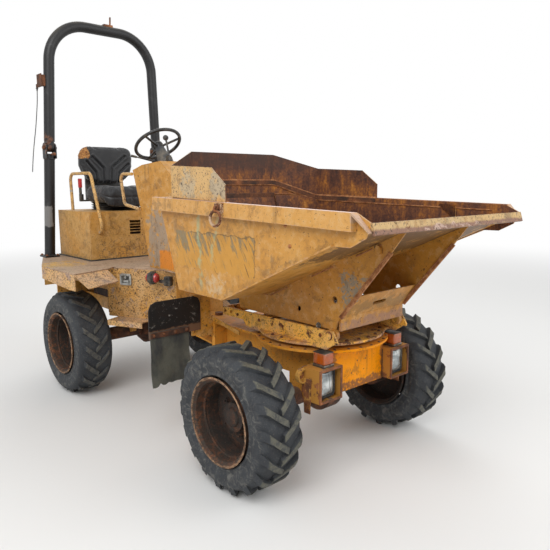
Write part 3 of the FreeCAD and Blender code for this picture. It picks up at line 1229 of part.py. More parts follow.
def bar_leg():
    """Lower leg with its foot flange, the two cheeks of the fold and their pin."""
    foot = on_bar(DECK_Z + 5)
    top = on_bar(FOLD_Z - 50)
    x, y, z = on_bar(DECK_Z)
    flange = box(x - 70, x + 70, y - 60, y + 60, DECK_Z, DECK_Z + 14)
    knuckle = V(*on_bar(FOLD_Z))
    reach = CLEVIS_HALF + CHEEK_GAP
    parts = [bar(foot, top, BAR_RADIUS).cut(bar(foot, top, BAR_RADIUS - BAR_WALL)), flange]
    for side in (-1, 1):
        low, high = sorted((knuckle.y + side * reach, knuckle.y + side * (reach + CHEEK)))
        parts.append(box(knuckle.x - 40, knuckle.x + 40, low, high, FOLD_Z - 90, FOLD_Z))
        parts.append(Part.makeCylinder(40, CHEEK, V(knuckle.x, low, FOLD_Z), V(0, 1, 0)))
    half = reach + CHEEK + 12
    parts.append(bar((knuckle.x, knuckle.y - half, FOLD_Z), (knuckle.x, knuckle.y + half, FOLD_Z), FOLD_PIN))
    return union(parts)


def bar_hoop():
    """Bent upper tube with a clevis block at each foot."""
    def route(foot_z):
        half = [on_bar(z) for z in (foot_z, BAR_TOP_Z)]
        return half + [(x, -y, z) for x, y, z in reversed(half)]

    parts = [bent_tube(route(FOLD_Z + 50), BAR_BEND, BAR_RADIUS)]
    bore = bent_tube(route(FOLD_Z + 110), BAR_BEND, BAR_RADIUS - BAR_WALL)
    x = bar_x(FOLD_Z)
    for side in (-1, 1):
        y = side * bar_y(FOLD_Z)
        parts.append(box(x - CLEVIS_RADIUS, x + CLEVIS_RADIUS, y - CLEVIS_HALF, y + CLEVIS_HALF, FOLD_Z, FOLD_Z + 90))
        parts.append(bar((x, y - CLEVIS_HALF, FOLD_Z), (x, y + CLEVIS_HALF, FOLD_Z), CLEVIS_RADIUS))
    pins = bar((x, -BAR_FOOT_Y - 100, FOLD_Z), (x, BAR_FOOT_Y + 100, FOLD_Z), FOLD_PIN + RUNNING_FIT)
    return union(parts).cut(bore).cut(pins)


def lamp_mount():
    """Channel clamped to the right leg, with the gland that the loose cable leaves by."""
    low = LAMP_MOUNT_Z
    high = low + LAMP_MOUNT_TALL
    x, y, z = on_bar((low + high) / 2)
    face = -y - BAR_RADIUS - 32
    tube = bar(tuple(-c if i == 1 else c for i, c in enumerate(on_bar(low - 30))),
               tuple(-c if i == 1 else c for i, c in enumerate(on_bar(high + 30))), BAR_RADIUS)
    parts = [box(x - 68, x + 28, face, face + 6, low, high)]
    for start in (x - 26, x + 14):
        parts.append(box(start, start + 6, face, -y, low + 8, high - 8))
    gland_x, gland_y, gland_z = CABLE_ROUTE[0]
    parts.append(bar((gland_x, gland_y, gland_z + SEAM), (gland_x, gland_y, gland_z + 34),
                     2.2 * CABLE_RADIUS))
    parts.append(box(gland_x - 10, x - 22, face + 2, gland_y + 8, gland_z + 12, gland_z + 26))
    return union(parts).cut(tube)


def beacon_mount():
    """Saddle with an upright pin on the hoop's top bar."""
    x = bar_x(BAR_TOP_Z)
    tube = bar((x, -30, BAR_TOP_Z), (x, 140, BAR_TOP_Z), BAR_RADIUS)
    saddle = box(x - 24, x + 24, 10, 92, BAR_TOP_Z + 20, BAR_TOP_Z + BAR_RADIUS + 10)
    pin = bar((x, 76, BAR_TOP_Z + 40), (x, 80, BAR_TOP_Z + 122), 7)
    return union([saddle, pin]).cut(tube)


# The loose cable hangs from the gland beside the right leg, its bare end at the foot
CABLE_ROUTE = [
    (BAR_X - 26, -558, DECK_Z + 1399),
    (BAR_X - 28, -560, DECK_Z + 1322),
    (BAR_X - 33, -567, DECK_Z + 1238),
    (BAR_X - 35, -577, DECK_Z + 1150),
    (BAR_X - 33, -590, DECK_Z + 1062),
    (BAR_X - 30, -606, DECK_Z + 976),
    (BAR_X - 23, -622, DECK_Z + 890),
    (BAR_X - 17, -635, DECK_Z + 803),
    (BAR_X - 15, -644, DECK_Z + 720),
]


def cable_bends(points):
    """Bend radius at each inner point: 0.45 of the shorter run over the tangent of half the turn."""
    bends = []
    for before, corner, after in zip(points, points[1:], points[2:]):
        run_in = V(*corner) - V(*before)
        run_out = V(*after) - V(*corner)
        half = run_in.getAngle(run_out) / 2
        bends.append(0.45 * min(run_in.Length, run_out.Length) / math.tan(half))
    return bends


keep("rollbar_legs", *both(bar_leg()))
keep("rollbar_hoop", bar_hoop())
keep("hoop_brackets", lamp_mount(), beacon_mount())
bends = cable_bends(CABLE_ROUTE)
cable = bent_tube(CABLE_ROUTE, bends, CABLE_RADIUS)
keep("loose_cable", cable)
print("cable bend radii", [round(b) for b in bends])
print("cable length", round(cable.Volume / (math.pi * CABLE_RADIUS ** 2)))

os.makedirs("parts", exist_ok=True)
for name, shape in nodes.items():
    shape.exportStep("parts/" + name + ".step")
    size = shape.BoundBox
    print(name, len(shape.Solids), shape.isValid(), [round(v) for v in (
        size.XMin, size.XMax, size.YMin, size.YMax, size.ZMin, size.ZMax)])
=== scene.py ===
"""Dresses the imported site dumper: worn paint, rust, tyres, seat, lamps, bolts and the render's stage.

Metres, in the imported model's frame: X forward, Y to the machine's left, Z up.
"""

import json
import math
import random

import bmesh
import bpy
from mathutils import Matrix, Vector, noise


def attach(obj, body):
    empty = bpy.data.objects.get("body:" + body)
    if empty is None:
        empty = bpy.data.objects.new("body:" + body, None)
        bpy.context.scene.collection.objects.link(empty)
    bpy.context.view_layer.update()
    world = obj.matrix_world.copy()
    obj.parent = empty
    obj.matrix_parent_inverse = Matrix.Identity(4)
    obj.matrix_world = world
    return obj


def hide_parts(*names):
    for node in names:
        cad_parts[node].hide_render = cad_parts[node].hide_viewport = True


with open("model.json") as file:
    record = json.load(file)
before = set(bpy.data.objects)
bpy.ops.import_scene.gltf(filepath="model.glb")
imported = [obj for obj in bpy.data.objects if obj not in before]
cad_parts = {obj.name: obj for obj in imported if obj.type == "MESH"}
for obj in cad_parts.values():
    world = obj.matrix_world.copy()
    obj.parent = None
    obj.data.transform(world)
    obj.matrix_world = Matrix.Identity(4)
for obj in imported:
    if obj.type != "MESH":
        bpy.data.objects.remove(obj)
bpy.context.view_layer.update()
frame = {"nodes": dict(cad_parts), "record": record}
nodes = frame["nodes"]
scene = bpy.context.scene
random.seed(7)

# Camera, fitted to the photograph's straight edges and wheel centres
PHOTO_SIZE = 550.0
FOCAL_PIXELS = 575.9
PRINCIPAL_X = 279.0
PRINCIPAL_Y = 273.1
CAMERA_PLACE = (3.292, -2.413, 1.595)
CAMERA_YAW = math.radians(137.66)
CAMERA_PITCH = math.radians(-8.83)
CAMERA_ROLL = math.radians(-0.21)
SENSOR_WIDTH = 36.0


def make_camera():
    data = bpy.data.cameras.new("photo_camera")
    data.sensor_width = SENSOR_WIDTH
    data.lens = FOCAL_PIXELS / PHOTO_SIZE * SENSOR_WIDTH
    data.shift_x = (PHOTO_SIZE / 2 - PRINCIPAL_X) / PHOTO_SIZE
    data.shift_y = (PRINCIPAL_Y - PHOTO_SIZE / 2) / PHOTO_SIZE
    data.clip_end = 200.0
    camera = bpy.data.objects.new("photo_camera", data)
    scene.collection.objects.link(camera)
    turn = Matrix.Rotation(CAMERA_YAW - math.pi / 2, 4, "Z") @ Matrix.Rotation(math.pi / 2 + CAMERA_PITCH, 4, "X")
    camera.matrix_world = Matrix.Translation(CAMERA_PLACE) @ turn @ Matrix.Rotation(CAMERA_ROLL, 4, "Z")
    scene.camera = camera


make_camera()

# The loose cable beside the right leg of the roll bar
CABLE_ROUTE = [(-1.708, -0.558, 2.380), (-1.710, -0.560, 2.303), (-1.715, -0.567, 2.219), (-1.717, -0.577, 2.131),
               (-1.715, -0.590, 2.043), (-1.712, -0.606, 1.957), (-1.705, -0.622, 1.871), (-1.699, -0.635, 1.784),
               (-1.697, -0.644, 1.701)]
CABLE_DIAMETER = 0.007


def loose_cable():
    data = bpy.data.curves.new("loose_cable_flex", "CURVE")
    data.dimensions = "3D"
    data.bevel_depth = 1.0
    data.bevel_resolution = 3
    data.resolution_u = 8
    data.use_fill_caps = True
    spline = data.splines.new("NURBS")
    spline.points.add(len(CABLE_ROUTE) - 1)
    for point, place in zip(spline.points, CABLE_ROUTE):
        point.co = (*place, 1.0)
        point.radius = CABLE_DIAMETER / 2
    spline.order_u = 3
    spline.use_endpoint_u = True
    cable = bpy.data.objects.new("loose_cable_flex", data)
    scene.collection.objects.link(cable)
    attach(cable, "rollbar_hoop")
    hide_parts("loose_cable")
    return cable


cable = loose_cable()


# Shader building blocks
class Graph:
    """Adds nodes to a material's or a group's tree and links them by name."""

    def __init__(self, tree):
        self.tree = tree

    def add(self, kind, values=None, **settings):
        node = self.tree.nodes.new(kind)
        for name, value in settings.items():
            setattr(node, name, value)
        for name, value in (values or {}).items():
            self.put(node.inputs[name], value)
        return node

    def put(self, socket, value):
        if isinstance(value, bpy.types.NodeSocket):
            self.tree.links.new(value, socket)
        else:
            socket.default_value = value

    def math(self, operation, a, b=0.0, c=0.0, clamp=False):
        node = self.tree.nodes.new("ShaderNodeMath")
        node.operation = operation
        node.use_clamp = clamp
        for socket, value in zip(node.inputs, (a, b, c)):
            self.put(socket, value)
        return node.outputs[0]

    def vector(self, operation, a, b=(0.0, 0.0, 0.0), out="Vector"):
        node = self.tree.nodes.new("ShaderNodeVectorMath")
        node.operation = operation
        self.put(node.inputs[0], a)
        self.put(node.inputs[1], b)
        return node.outputs[out]

    def split(self, value):
        return self.add("ShaderNodeSeparateXYZ", {"Vector": value}).outputs

    def span(self, value, low, high, to_low=0.0, to_high=1.0):
        node = self.tree.nodes.new("ShaderNodeMapRange")
        node.interpolation_type = "SMOOTHSTEP"
        for name, amount in (("Value", value), ("From Min", low), ("From Max", high),
                             ("To Min", to_low), ("To Max", to_high)):
            self.put(node.inputs[name], amount)
        return node.outputs["Result"]

    def mix(self, mask, under, over, blend="MIX"):
        node = self.tree.nodes.new("ShaderNodeMix")
        node.data_type = "RGBA"
        node.blend_type = blend
        self.put(node.inputs[0], mask)
        self.put(node.inputs[6], under)
        self.put(node.inputs[7], over)
        return node.outputs[2]

    def blend(self, mask, under, over):
        node = self.tree.nodes.new("ShaderNodeMix")
        self.put(node.inputs[0], mask)
        self.put(node.inputs[2], under)
        self.put(node.inputs[3], over)
        return node.outputs[0]

    def noise(self, place, scale, detail=4.0, rough=0.55, distortion=0.0):
        node = self.add("ShaderNodeTexNoise", {"Vector": place, "Scale": scale, "Detail": detail,
                                               "Roughness": rough, "Distortion": distortion})
        return node.outputs["Fac"]

    def stretch(self, place, scale, shift=(0.0, 0.0, 0.0), turn=(0.0, 0.0, 0.0)):
        node = self.add("ShaderNodeMapping", {"Vector": place, "Scale": scale, "Location": shift,
                                              "Rotation": turn})
        return node.outputs[0]

    def ramp(self, value, stops):
        node = self.tree.nodes.new("ShaderNodeValToRGB")
        elements = node.color_ramp.elements
        while len(elements) > 1:
            elements.remove(elements[-1])
        elements[0].position, elements[0].color = stops[0][0], (*stops[0][1][:3], 1.0)
        for position, colour in stops[1:]:
            element = elements.new(position)
            element.color = (*colour[:3], 1.0)
        self.put(node.inputs[0], value)
        return node.outputs[0]


def rgb(red, green, blue):
    """A linear colour from the 0 to 255 values of a screen colour."""
    linear = [((c / 255 + 0.055) / 1.055) ** 2.4 if c > 10 else c / 255 / 12.92 for c in (red, green, blue)]
    return (*linear, 1.0)


def new_group(name, inputs, outputs):
    """An empty shader group: inputs are (name, kind, default), outputs (name, kind)."""
    tree = bpy.data.node_groups.new(name, "ShaderNodeTree")
    kinds = {"value": "NodeSocketFloat", "colour": "NodeSocketColor", "vector": "NodeSocketVector"}
    for socket_name, kind, default in inputs:
        socket = tree.interface.new_socket(name=socket_name, in_out="INPUT", socket_type=kinds[kind])
        if default is not None:
            socket.default_value = default
    for socket_name, kind in outputs:
        tree.interface.new_socket(name=socket_name, in_out="OUTPUT", socket_type=kinds[kind])
    graph = Graph(tree)
    source = tree.nodes.new("NodeGroupInput").outputs
    sink = tree.nodes.new("NodeGroupOutput").inputs
    return tree, graph, source, sink


def edge_group():
    """Mask of corners and edges, roughened by a noise."""
    tree, g, source, sink = new_group(
        "edge wear", [("Place", "vector", None), ("Radius", "value", 0.006), ("Break up", "value", 0.5)],
        [("Mask", "value")])
    bevel = g.add("ShaderNodeBevel", {"Radius": source["Radius"]}, samples=4)
    plain = g.add("ShaderNodeNewGeometry")
    dot = g.vector("DOT_PRODUCT", bevel.outputs[0], plain.outputs["Normal"], "Value")
    corner = g.span(dot, 0.985, 0.80)
    coarse = g.noise(source["Place"], 32.0, 5.0, 0.7)
    rough = g.span(coarse, g.math("SUBTRACT", 0.66, g.math("MULTIPLY", source["Break up"], 0.28)), 0.64)
    g.put(sink["Mask"], g.math("MULTIPLY", corner, rough, clamp=True))
    return tree


def patch_group():
    """Islands with crisp, ragged outlines."""
    tree, g, source, sink = new_group(
        "flaked patches", [("Place", "vector", None), ("Scale", "value", 6.0), ("Amount", "value", 0.3),
                           ("Soft", "value", 0.03)], [("Mask", "value")])
    big = g.noise(source["Place"], source["Scale"], 6.0, 0.62, 0.6)
    fine = g.noise(source["Place"], g.math("MULTIPLY", source["Scale"], 9.0), 4.0, 0.7)
    both = g.math("ADD", g.math("MULTIPLY", big, 0.8), g.math("MULTIPLY", fine, 0.2))
    level = g.math("SUBTRACT", 0.74, g.math("MULTIPLY", source["Amount"], 0.36))
    g.put(sink["Mask"], g.span(both, level, g.math("ADD", level, source["Soft"])))
    return tree


def rust_group():
    """Rust from dark scale to fresh orange powder."""
    tree, g, source, sink = new_group(
        "rust", [("Place", "vector", None), ("Scale", "value", 9.0), ("Bright", "value", 0.0)],
        [("Colour", "colour"), ("Height", "value")])
    cloud = g.noise(source["Place"], source["Scale"], 8.0, 0.68, 0.4)
    grain = g.noise(source["Place"], g.math("MULTIPLY", source["Scale"], 22.0), 3.0, 0.7)
    value = g.math("ADD", g.math("MULTIPLY", cloud, 0.75), g.math("MULTIPLY", grain, 0.25))
    value = g.math("ADD", value, source["Bright"])
    colour = g.ramp(value, [(0.30, rgb(34, 26, 22)), (0.42, rgb(62, 42, 32)), (0.52, rgb(98, 60, 38)),
                            (0.62, rgb(142, 86, 48)), (0.76, rgb(188, 134, 86))])
    g.put(sink["Colour"], colour)
    g.put(sink["Height"], grain)
    return tree


def grime_group():
    """Dust that settles on faces that look up, and dirt that runs down upright ones."""
    tree, g, source, sink = new_group(
        "grime", [("Place", "vector", None), ("Dust", "value", 0.5), ("Runs", "value", 0.5)],
        [("Dust", "value"), ("Runs", "value")])
    facing = g.split(g.add("ShaderNodeTexCoord").outputs["Normal"])
    up = g.span(facing["Z"], 0.25, 0.95)
    cloud = g.noise(source["Place"], 7.0, 6.0, 0.65)
    g.put(sink["Dust"], g.math("MULTIPLY", g.math("MULTIPLY", up, source["Dust"]), g.span(cloud, 0.32, 0.66),
                               clamp=True))
    drips = g.noise(g.stretch(source["Place"], (26.0, 26.0, 1.6)), 1.0, 5.0, 0.6)
    upright = g.math("SUBTRACT", 1.0, g.math("ABSOLUTE", facing["Z"]))
    runs = g.math("MULTIPLY", g.span(drips, 0.52, 0.74), g.span(cloud, 0.38, 0.66))
    g.put(sink["Runs"], g.math("MULTIPLY", g.math("MULTIPLY", runs, upright), source["Runs"], clamp=True))
    return tree


def scratch_group():
    """Thin scores in two leaning directions."""
    tree, g, source, sink = new_group(
        "scratches", [("Place", "vector", None), ("Amount", "value", 0.4)], [("Mask", "value")])
    masks = []
    for turn, scale in ((0.5, (220.0, 220.0, 7.0)), (-0.7, (160.0, 160.0, 5.0))):
        leaning = g.stretch(source["Place"], (1.0, 1.0, 1.0), turn=(turn, turn, 0.3))
        lines = g.noise(g.stretch(leaning, scale), 1.0, 2.0, 0.5)
        masks.append(g.span(lines, 0.71, 0.75))
    where = g.span(g.noise(source["Place"], 3.4, 4.0), g.math("SUBTRACT", 0.72, source["Amount"]), 0.75)
    g.put(sink["Mask"], g.math("MULTIPLY", g.math("MAXIMUM", *masks), where, clamp=True))
    return tree


def region_group():
    """A box in object coordinates whose sides are ragged."""
    tree, g, source, sink = new_group(
        "ragged region", [("Place", "vector", None), ("Low", "vector", None), ("High", "vector", None),
                          ("Ragged", "value", 0.03), ("Soft", "value", 0.006)], [("Mask", "value")])
    wander = g.add("ShaderNodeTexNoise", {"Vector": source["Place"], "Scale": 17.0, "Detail": 7.0,
                                          "Roughness": 0.7}).outputs["Color"]
    reach = g.math("MULTIPLY", source["Ragged"], 4.0)
    amount = g.add("ShaderNodeCombineXYZ", {"X": reach, "Y": reach, "Z": reach}).outputs[0]
    shift = g.vector("MULTIPLY", g.vector("SUBTRACT", wander, (0.5, 0.5, 0.5)), amount)
    moved = g.vector("ADD", source["Place"], shift)
    above = g.split(g.vector("SUBTRACT", moved, source["Low"]))
    below = g.split(g.vector("SUBTRACT", source["High"], moved))
    nearest = None
    for side in (above, below):
        for axis in "XYZ":
            nearest = side[axis] if nearest is None else g.math("MINIMUM", nearest, side[axis])
    g.put(sink["Mask"], g.span(nearest, 0.0, source["Soft"]))
    return tree


def inward_group():
    """1 on the faces that look towards a point, such as the inside of an open box."""
    tree, g, source, sink = new_group("inward faces", [("Place", "vector", None), ("Centre", "vector", None)],
                                      [("Mask", "value")])
    normal = g.add("ShaderNodeTexCoord").outputs["Normal"]
    towards = g.vector("NORMALIZE", g.vector("SUBTRACT", source["Centre"], source["Place"]))
    g.put(sink["Mask"], g.span(g.vector("DOT_PRODUCT", towards, normal, "Value"), -0.02, 0.06))
    return tree


def wheel_group():
    """Distance from the nearest wheel's axle, distance out from its middle and a place round it."""
    tree, g, source, sink = new_group("wheel place", [("Place", "vector", None)],
                                      [("Radius", "value"), ("Out", "value"), ("Round", "vector")])
    place = g.split(source["Place"])
    along = g.math("SUBTRACT", g.math("ABSOLUTE", place["X"]), WHEELBASE / 2)
    up = g.math("SUBTRACT", place["Z"], TYRE_RADIUS)
    radius = g.math("SQRT", g.math("ADD", g.math("MULTIPLY", along, along), g.math("MULTIPLY", up, up)))
    g.put(sink["Radius"], radius)
    g.put(sink["Out"], g.math("SUBTRACT", g.math("ABSOLUTE", place["Y"]), TRACK / 2))
    flat = g.add("ShaderNodeCombineXYZ", {"X": g.math("DIVIDE", along, radius), "Y": g.math("DIVIDE", up, radius),
                                          "Z": g.math("MULTIPLY", radius, 2.0)})
    g.put(sink["Round"], flat.outputs[0])
    return tree


WHEELBASE = 2.030
TRACK = 1.275
TYRE_RADIUS = 0.390
TYRE_HALF = 0.1325
EDGES = edge_group()
PATCHES = patch_group()
RUST = rust_group()
GRIME = grime_group()
SCRATCHES = scratch_group()
REGION = region_group()
INWARD = inward_group()
WHEEL = wheel_group()


class Finish(Graph):
    """A material with a Principled shader, reading object coordinates."""

    def __init__(self, name, **constants):
        self.material = bpy.data.materials.new(name)
        self.material.use_nodes = True
        super().__init__(self.material.node_tree)
        self.shader = self.tree.nodes["Principled BSDF"]
        for socket, value in constants.items():
            self.shader.inputs[socket.replace("_", " ")].default_value = value
        self.place = self.add("ShaderNodeTexCoord").outputs["Object"]

    def group(self, tree, **values):
        node = self.tree.nodes.new("ShaderNodeGroup")
        node.node_tree = tree
        self.put(node.inputs["Place"], values.pop("place", self.place))
        for name, value in values.items():
            self.put(node.inputs[name.replace("_", " ")], value)
        return node.outputs

    def region(self, low, high, ragged=0.03, soft=0.006):
        return self.group(REGION, Low=low, High=high, Ragged=ragged, Soft=soft)["Mask"]

    def show(self, colour, rough=None, metal=None, height=None, strength=0.3, distance=0.001):
        self.put(self.shader.inputs["Base Color"], colour)
        if rough is not None:
            self.put(self.shader.inputs["Roughness"], rough)
        if metal is not None:
            self.put(self.shader.inputs["Metallic"], metal)
        if height is not None:
            bump = self.add("ShaderNodeBump", {"Height": height, "Strength": strength, "Distance": distance})
            self.put(self.shader.inputs["Normal"], bump.outputs[0])
        return self.material


FADED = rgb(200, 146, 68)
MUSTARD = rgb(190, 132, 48)
FRESH = rgb(214, 148, 34)
BROWNED = rgb(158, 110, 50)
PALE = rgb(206, 168, 116)
PRIMER = rgb(136, 124, 106)
PINK = rgb(196, 160, 138)
DUST = rgb(150, 138, 118)
SOOT = rgb(48, 40, 32)
OLIVE = rgb(112, 96, 58)


def enamel(f, top, faded, chips=0.3, rust=0.2, edges=0.8, dust=0.4, runs=0.5, scratches=0.3, patch_scale=5.0,
           shift=(0.0, 0.0, 0.0), under=PRIMER, rough=0.5, edge_tint=None, mottle=0.40, marks=()):
    """Old enamel: faded in clouds, chipped to primer and rust, worn at the edges and dirty."""
    place = f.stretch(f.place, (1.0, 1.0, 1.0), shift)
    cloud = f.noise(place, 2.6, 6.0, 0.6, 0.5)
    paint = f.mix(f.span(cloud, 0.34, 0.68), top, faded)
    blotches = f.noise(place, 21.0, 6.0, 0.70)
    mottled = f.mix(f.span(blotches, 0.50, 0.62, 0.0, mottle), paint, PALE)
    mottled = f.mix(f.span(blotches, 0.47, 0.36, 0.0, mottle * 1.3), mottled, BROWNED)
    worn_through = f.span(f.noise(place, 19.0, 7.0, 0.72), 0.34, 0.46, 0.35, 1.0)
    for low, high, ragged, colour, amount in marks:
        mark = f.math("MULTIPLY", f.region(low, high, ragged, 0.012), amount)
        if ragged > 0.015:
            mark = f.math("MULTIPLY", mark, worn_through)
        mottled = f.mix(mark, mottled, colour)
    grime = f.group(GRIME, place=place, Dust=dust, Runs=runs)
    streaked = f.mix(grime["Runs"], mottled, SOOT)
    sooty = f.span(f.noise(place, 8.5, 9.0, 0.76, 0.5), 0.52, 0.64, 0.0, 0.50)
    streaked = f.mix(sooty, streaked, rgb(104, 76, 46))
    pepper = f.group(PATCHES, place=place, Scale=80.0, Amount=0.30 + chips * 0.55, Soft=0.02)["Mask"]
    streaked = f.mix(f.math("MULTIPLY", pepper, 0.85), streaked, rgb(54, 38, 29))
    scratch = f.group(SCRATCHES, place=place, Amount=scratches)["Mask"]
    chipped = f.group(PATCHES, place=place, Scale=patch_scale, Amount=chips)["Mask"]
    speckle = f.group(PATCHES, place=place, Scale=patch_scale * 7.0, Amount=chips * 0.7)["Mask"]
    bare = f.math("MAXIMUM", chipped, f.math("MULTIPLY", speckle, 0.85))
    primer = f.mix(f.span(f.noise(place, 55.0, 4.0, 0.7), 0.4, 0.7), under, rgb(112, 100, 88))
    coat = f.mix(bare, f.mix(scratch, streaked, under), primer)
    edge = f.group(EDGES, place=place, Radius=0.008, Break_up=edges)["Mask"]
    rusted = f.group(PATCHES, place=f.stretch(place, (1.0, 1.0, 1.0), (3.1, 1.7, 0.4)), Scale=patch_scale * 1.7,
                     Amount=rust)["Mask"]
    rust_colours = f.group(RUST, place=place, Scale=11.0, Bright=0.02)
    coat = f.mix(rusted, coat, rust_colours["Colour"])
    worn_edge = rust_colours["Colour"] if edge_tint is None else edge_tint
    coat = f.mix(edge, coat, worn_edge)
    rusty = f.math("MAXIMUM", edge, rusted)
    dusty = f.mix(f.math("MULTIPLY", grime["Dust"], 0.7), coat, DUST)
    roughness = f.math("ADD", rough, f.math("MULTIPLY", f.math("MAXIMUM", rusty, bare), 0.3), clamp=True)
    orange_peel = f.noise(place, 160.0, 2.0)
    height = f.math("SUBTRACT", f.math("MULTIPLY", orange_peel, 0.15),
                    f.math("ADD", f.math("MULTIPLY", bare, 0.5), f.math("MULTIPLY", rusty, 0.3)))
    height = f.math("ADD", height, f.math("MULTIPLY", f.math("MULTIPLY", rusty, rust_colours["Height"]), 0.8))
    return dusty, roughness, height


def worn_paint(name, top, faded, gloss=0.4, **wear):
    f = Finish(name, Specular_IOR_Level=gloss)
    colour, roughness, height = enamel(f, top, faded, **wear)
    return f.show(colour, roughness, height=height, strength=0.35, distance=0.0012)


def load_space_rust(f):
    """Rust of the load space: dark scale, brown film and orange streaks that run down."""
    streaks = f.noise(f.stretch(f.place, (26.0, 26.0, 4.5)), 1.0, 7.0, 0.72)
    fine = f.noise(f.place, 62.0, 6.0, 0.75)
    cloud = f.noise(f.place, 5.5, 7.0, 0.66, 0.8)
    value = f.math("ADD", f.math("MULTIPLY", streaks, 0.30), f.math("MULTIPLY", fine, 0.30))
    value = f.math("ADD", value, f.math("MULTIPLY", cloud, 0.40))
    place = f.split(f.place)
    middle = f.span(f.math("ABSOLUTE", place["Y"]), 0.50, 0.34, 1.49, 1.60)
    seam = f.span(f.math("ABSOLUTE", f.math("SUBTRACT", place["Z"], middle)), 0.17, 0.02)
    value = f.math("ADD", value, f.math("MULTIPLY", seam, 0.055))
    high = f.span(place["Z"], 1.64, 1.74)
    value = f.math("SUBTRACT", value, f.math("MULTIPLY", high, 0.03))
    value = f.math("SUBTRACT", value, 0.022)
    colour = f.ramp(value, [(0.40, rgb(50, 32, 27)), (0.46, rgb(80, 47, 34)), (0.51, rgb(106, 64, 40)),
                            (0.56, rgb(140, 86, 40)), (0.61, rgb(176, 114, 44)), (0.68, rgb(206, 152, 84))])
    colour = f.mix(f.math("MULTIPLY", high, 0.45), colour, rgb(84, 58, 44))
    grain = f.noise(f.place, 210.0, 3.0, 0.7)
    return colour, f.math("ADD", 0.62, f.math("MULTIPLY", cloud, 0.3)), f.math("ADD", fine, grain)


def skip_finish(name, top, faded, peeled=False, lift=0.0, top_tint=None, **wear):
    """Worn paint outside, rust inside the load space; top_tint is the bare colour of the upper faces."""
    f = Finish(name)
    colour, roughness, height = enamel(f, top, faded, **wear)
    if top_tint is not None:
        upward = f.span(f.split(f.add("ShaderNodeTexCoord").outputs["Normal"])["Z"], 0.6, 0.9)
        rubbed = f.span(f.noise(f.place, 24.0, 6.0, 0.7), 0.30, 0.44)
        colour = f.mix(f.math("MULTIPLY", upward, rubbed), colour, top_tint)
    if peeled:
        colour = peeled_field(f, colour)
    inner = f.group(INWARD, Centre=(1.05, 0.0, 1.25 + lift))["Mask"]
    rust, rust_rough, rust_height = load_space_rust(f)
    return f.show(f.mix(inner, colour, rust), f.blend(inner, roughness, rust_rough),
                  height=f.blend(inner, height, rust_height), strength=0.35, distance=0.0012)


def peeled_field(f, colour):
    """The near side's large scraped field, with the green drips and a pale smear below it."""
    place = f.split(f.place)
    field = f.region((0.40, -0.75, 1.125), (1.145, -0.50, 1.336), 0.016, 0.008)
    colour = f.mix(f.math("MULTIPLY", field, 0.75), colour, rgb(196, 140, 48))
    leaning = f.stretch(f.place, (1.0, 1.0, 1.0), turn=(0.0, 0.55, 0.0))
    streak = f.noise(f.stretch(leaning, (48.0, 1.0, 7.0)), 1.0, 6.0, 0.66)
    height = f.span(place["Z"], 1.13, 1.34, -0.02, 0.12)
    behind = f.span(place["X"], 1.10, 0.45, -0.03, 0.05)
    scraped = f.span(f.math("ADD", f.math("ADD", streak, height), behind), 0.575, 0.635)
    scraped = f.math("MULTIPLY", scraped, field)
    grey = f.mix(f.noise(f.place, 40.0, 4.0), OLIVE, rgb(126, 122, 104))
    grey = f.mix(f.span(f.noise(f.place, 15.0, 6.0, 0.7), 0.5, 0.62), grey, rgb(150, 112, 52))
    colour = f.mix(f.math("MULTIPLY", scraped, 0.85), colour, grey)
    gouges = f.noise(f.stretch(leaning, (110.0, 1.0, 9.0), (4.0, 2.0, 1.0)), 1.0, 3.0, 0.5)
    gouges = f.math("MULTIPLY", f.span(gouges, 0.66, 0.70), field)
    colour = f.mix(f.math("MULTIPLY", gouges, 0.8), colour, rgb(98, 66, 34))
    inside = f.region((0.406, -0.75, 1.10), (1.137, -0.50, 1.328), 0.016, 0.004)
    line = f.math("MULTIPLY", f.math("SUBTRACT", field, inside, clamp=True), f.span(place["X"], 0.52, 0.60))
    colour = f.mix(f.math("MULTIPLY", line, 0.8), colour, rgb(96, 72, 40))
    wander = f.math("MULTIPLY", f.math("SUBTRACT", f.noise(f.place, 9.0, 5.0), 0.5), 0.10)
    for x, lean, foot, width, amount in ((0.655, 0.06, 0.98, 0.026, 0.60), (0.775, -0.30, 1.12, 0.020, 0.50)):
        centre = f.math("ADD", f.math("MULTIPLY", f.math("SUBTRACT", 1.20, place["Z"]), lean), x)
        off = f.math("ABSOLUTE", f.math("SUBTRACT", f.math("ADD", place["X"], wander), centre))
        drip = f.math("MULTIPLY", f.span(off, width, 0.004), f.span(place["Z"], foot, foot + 0.10))
        drip = f.math("MULTIPLY", drip, f.math("MULTIPLY", f.span(f.noise(f.place, 36.0, 6.0), 0.36, 0.56), amount))
        colour = f.mix(drip, colour, rgb(158, 174, 138))
    smear = f.region((0.70, -0.75, 1.0), (0.90, -0.50, 1.10), 0.12, 0.05)
    return f.mix(f.math("MULTIPLY", smear, 0.45), colour, rgb(196, 184, 160))


def rusted_steel(name, bright=0.0, scale=8.0, dust=0.3, rough=0.82, tint=None, tinted=0.0, bare_from=None):
    """Rusted iron; tint is the paint that is left on it, and none is left in front of bare_from."""
    f = Finish(name)
    rust = f.group(RUST, Scale=scale, Bright=bright)
    grime = f.group(GRIME, Dust=dust, Runs=0.3)
    colour = f.mix(grime["Dust"], rust["Colour"], DUST)
    colour = f.mix(f.math("MULTIPLY", grime["Runs"], 0.6), colour, SOOT)
    if tint is not None:
        left = f.group(PATCHES, Scale=13.0, Amount=tinted)["Mask"]
        if bare_from is not None:
            left = f.math("MULTIPLY", left, f.span(f.split(f.place)["X"], bare_from + 0.006, bare_from))
        colour = f.mix(left, colour, tint)
    return f.show(colour, rough, height=rust["Height"], strength=0.5, distance=0.0015)


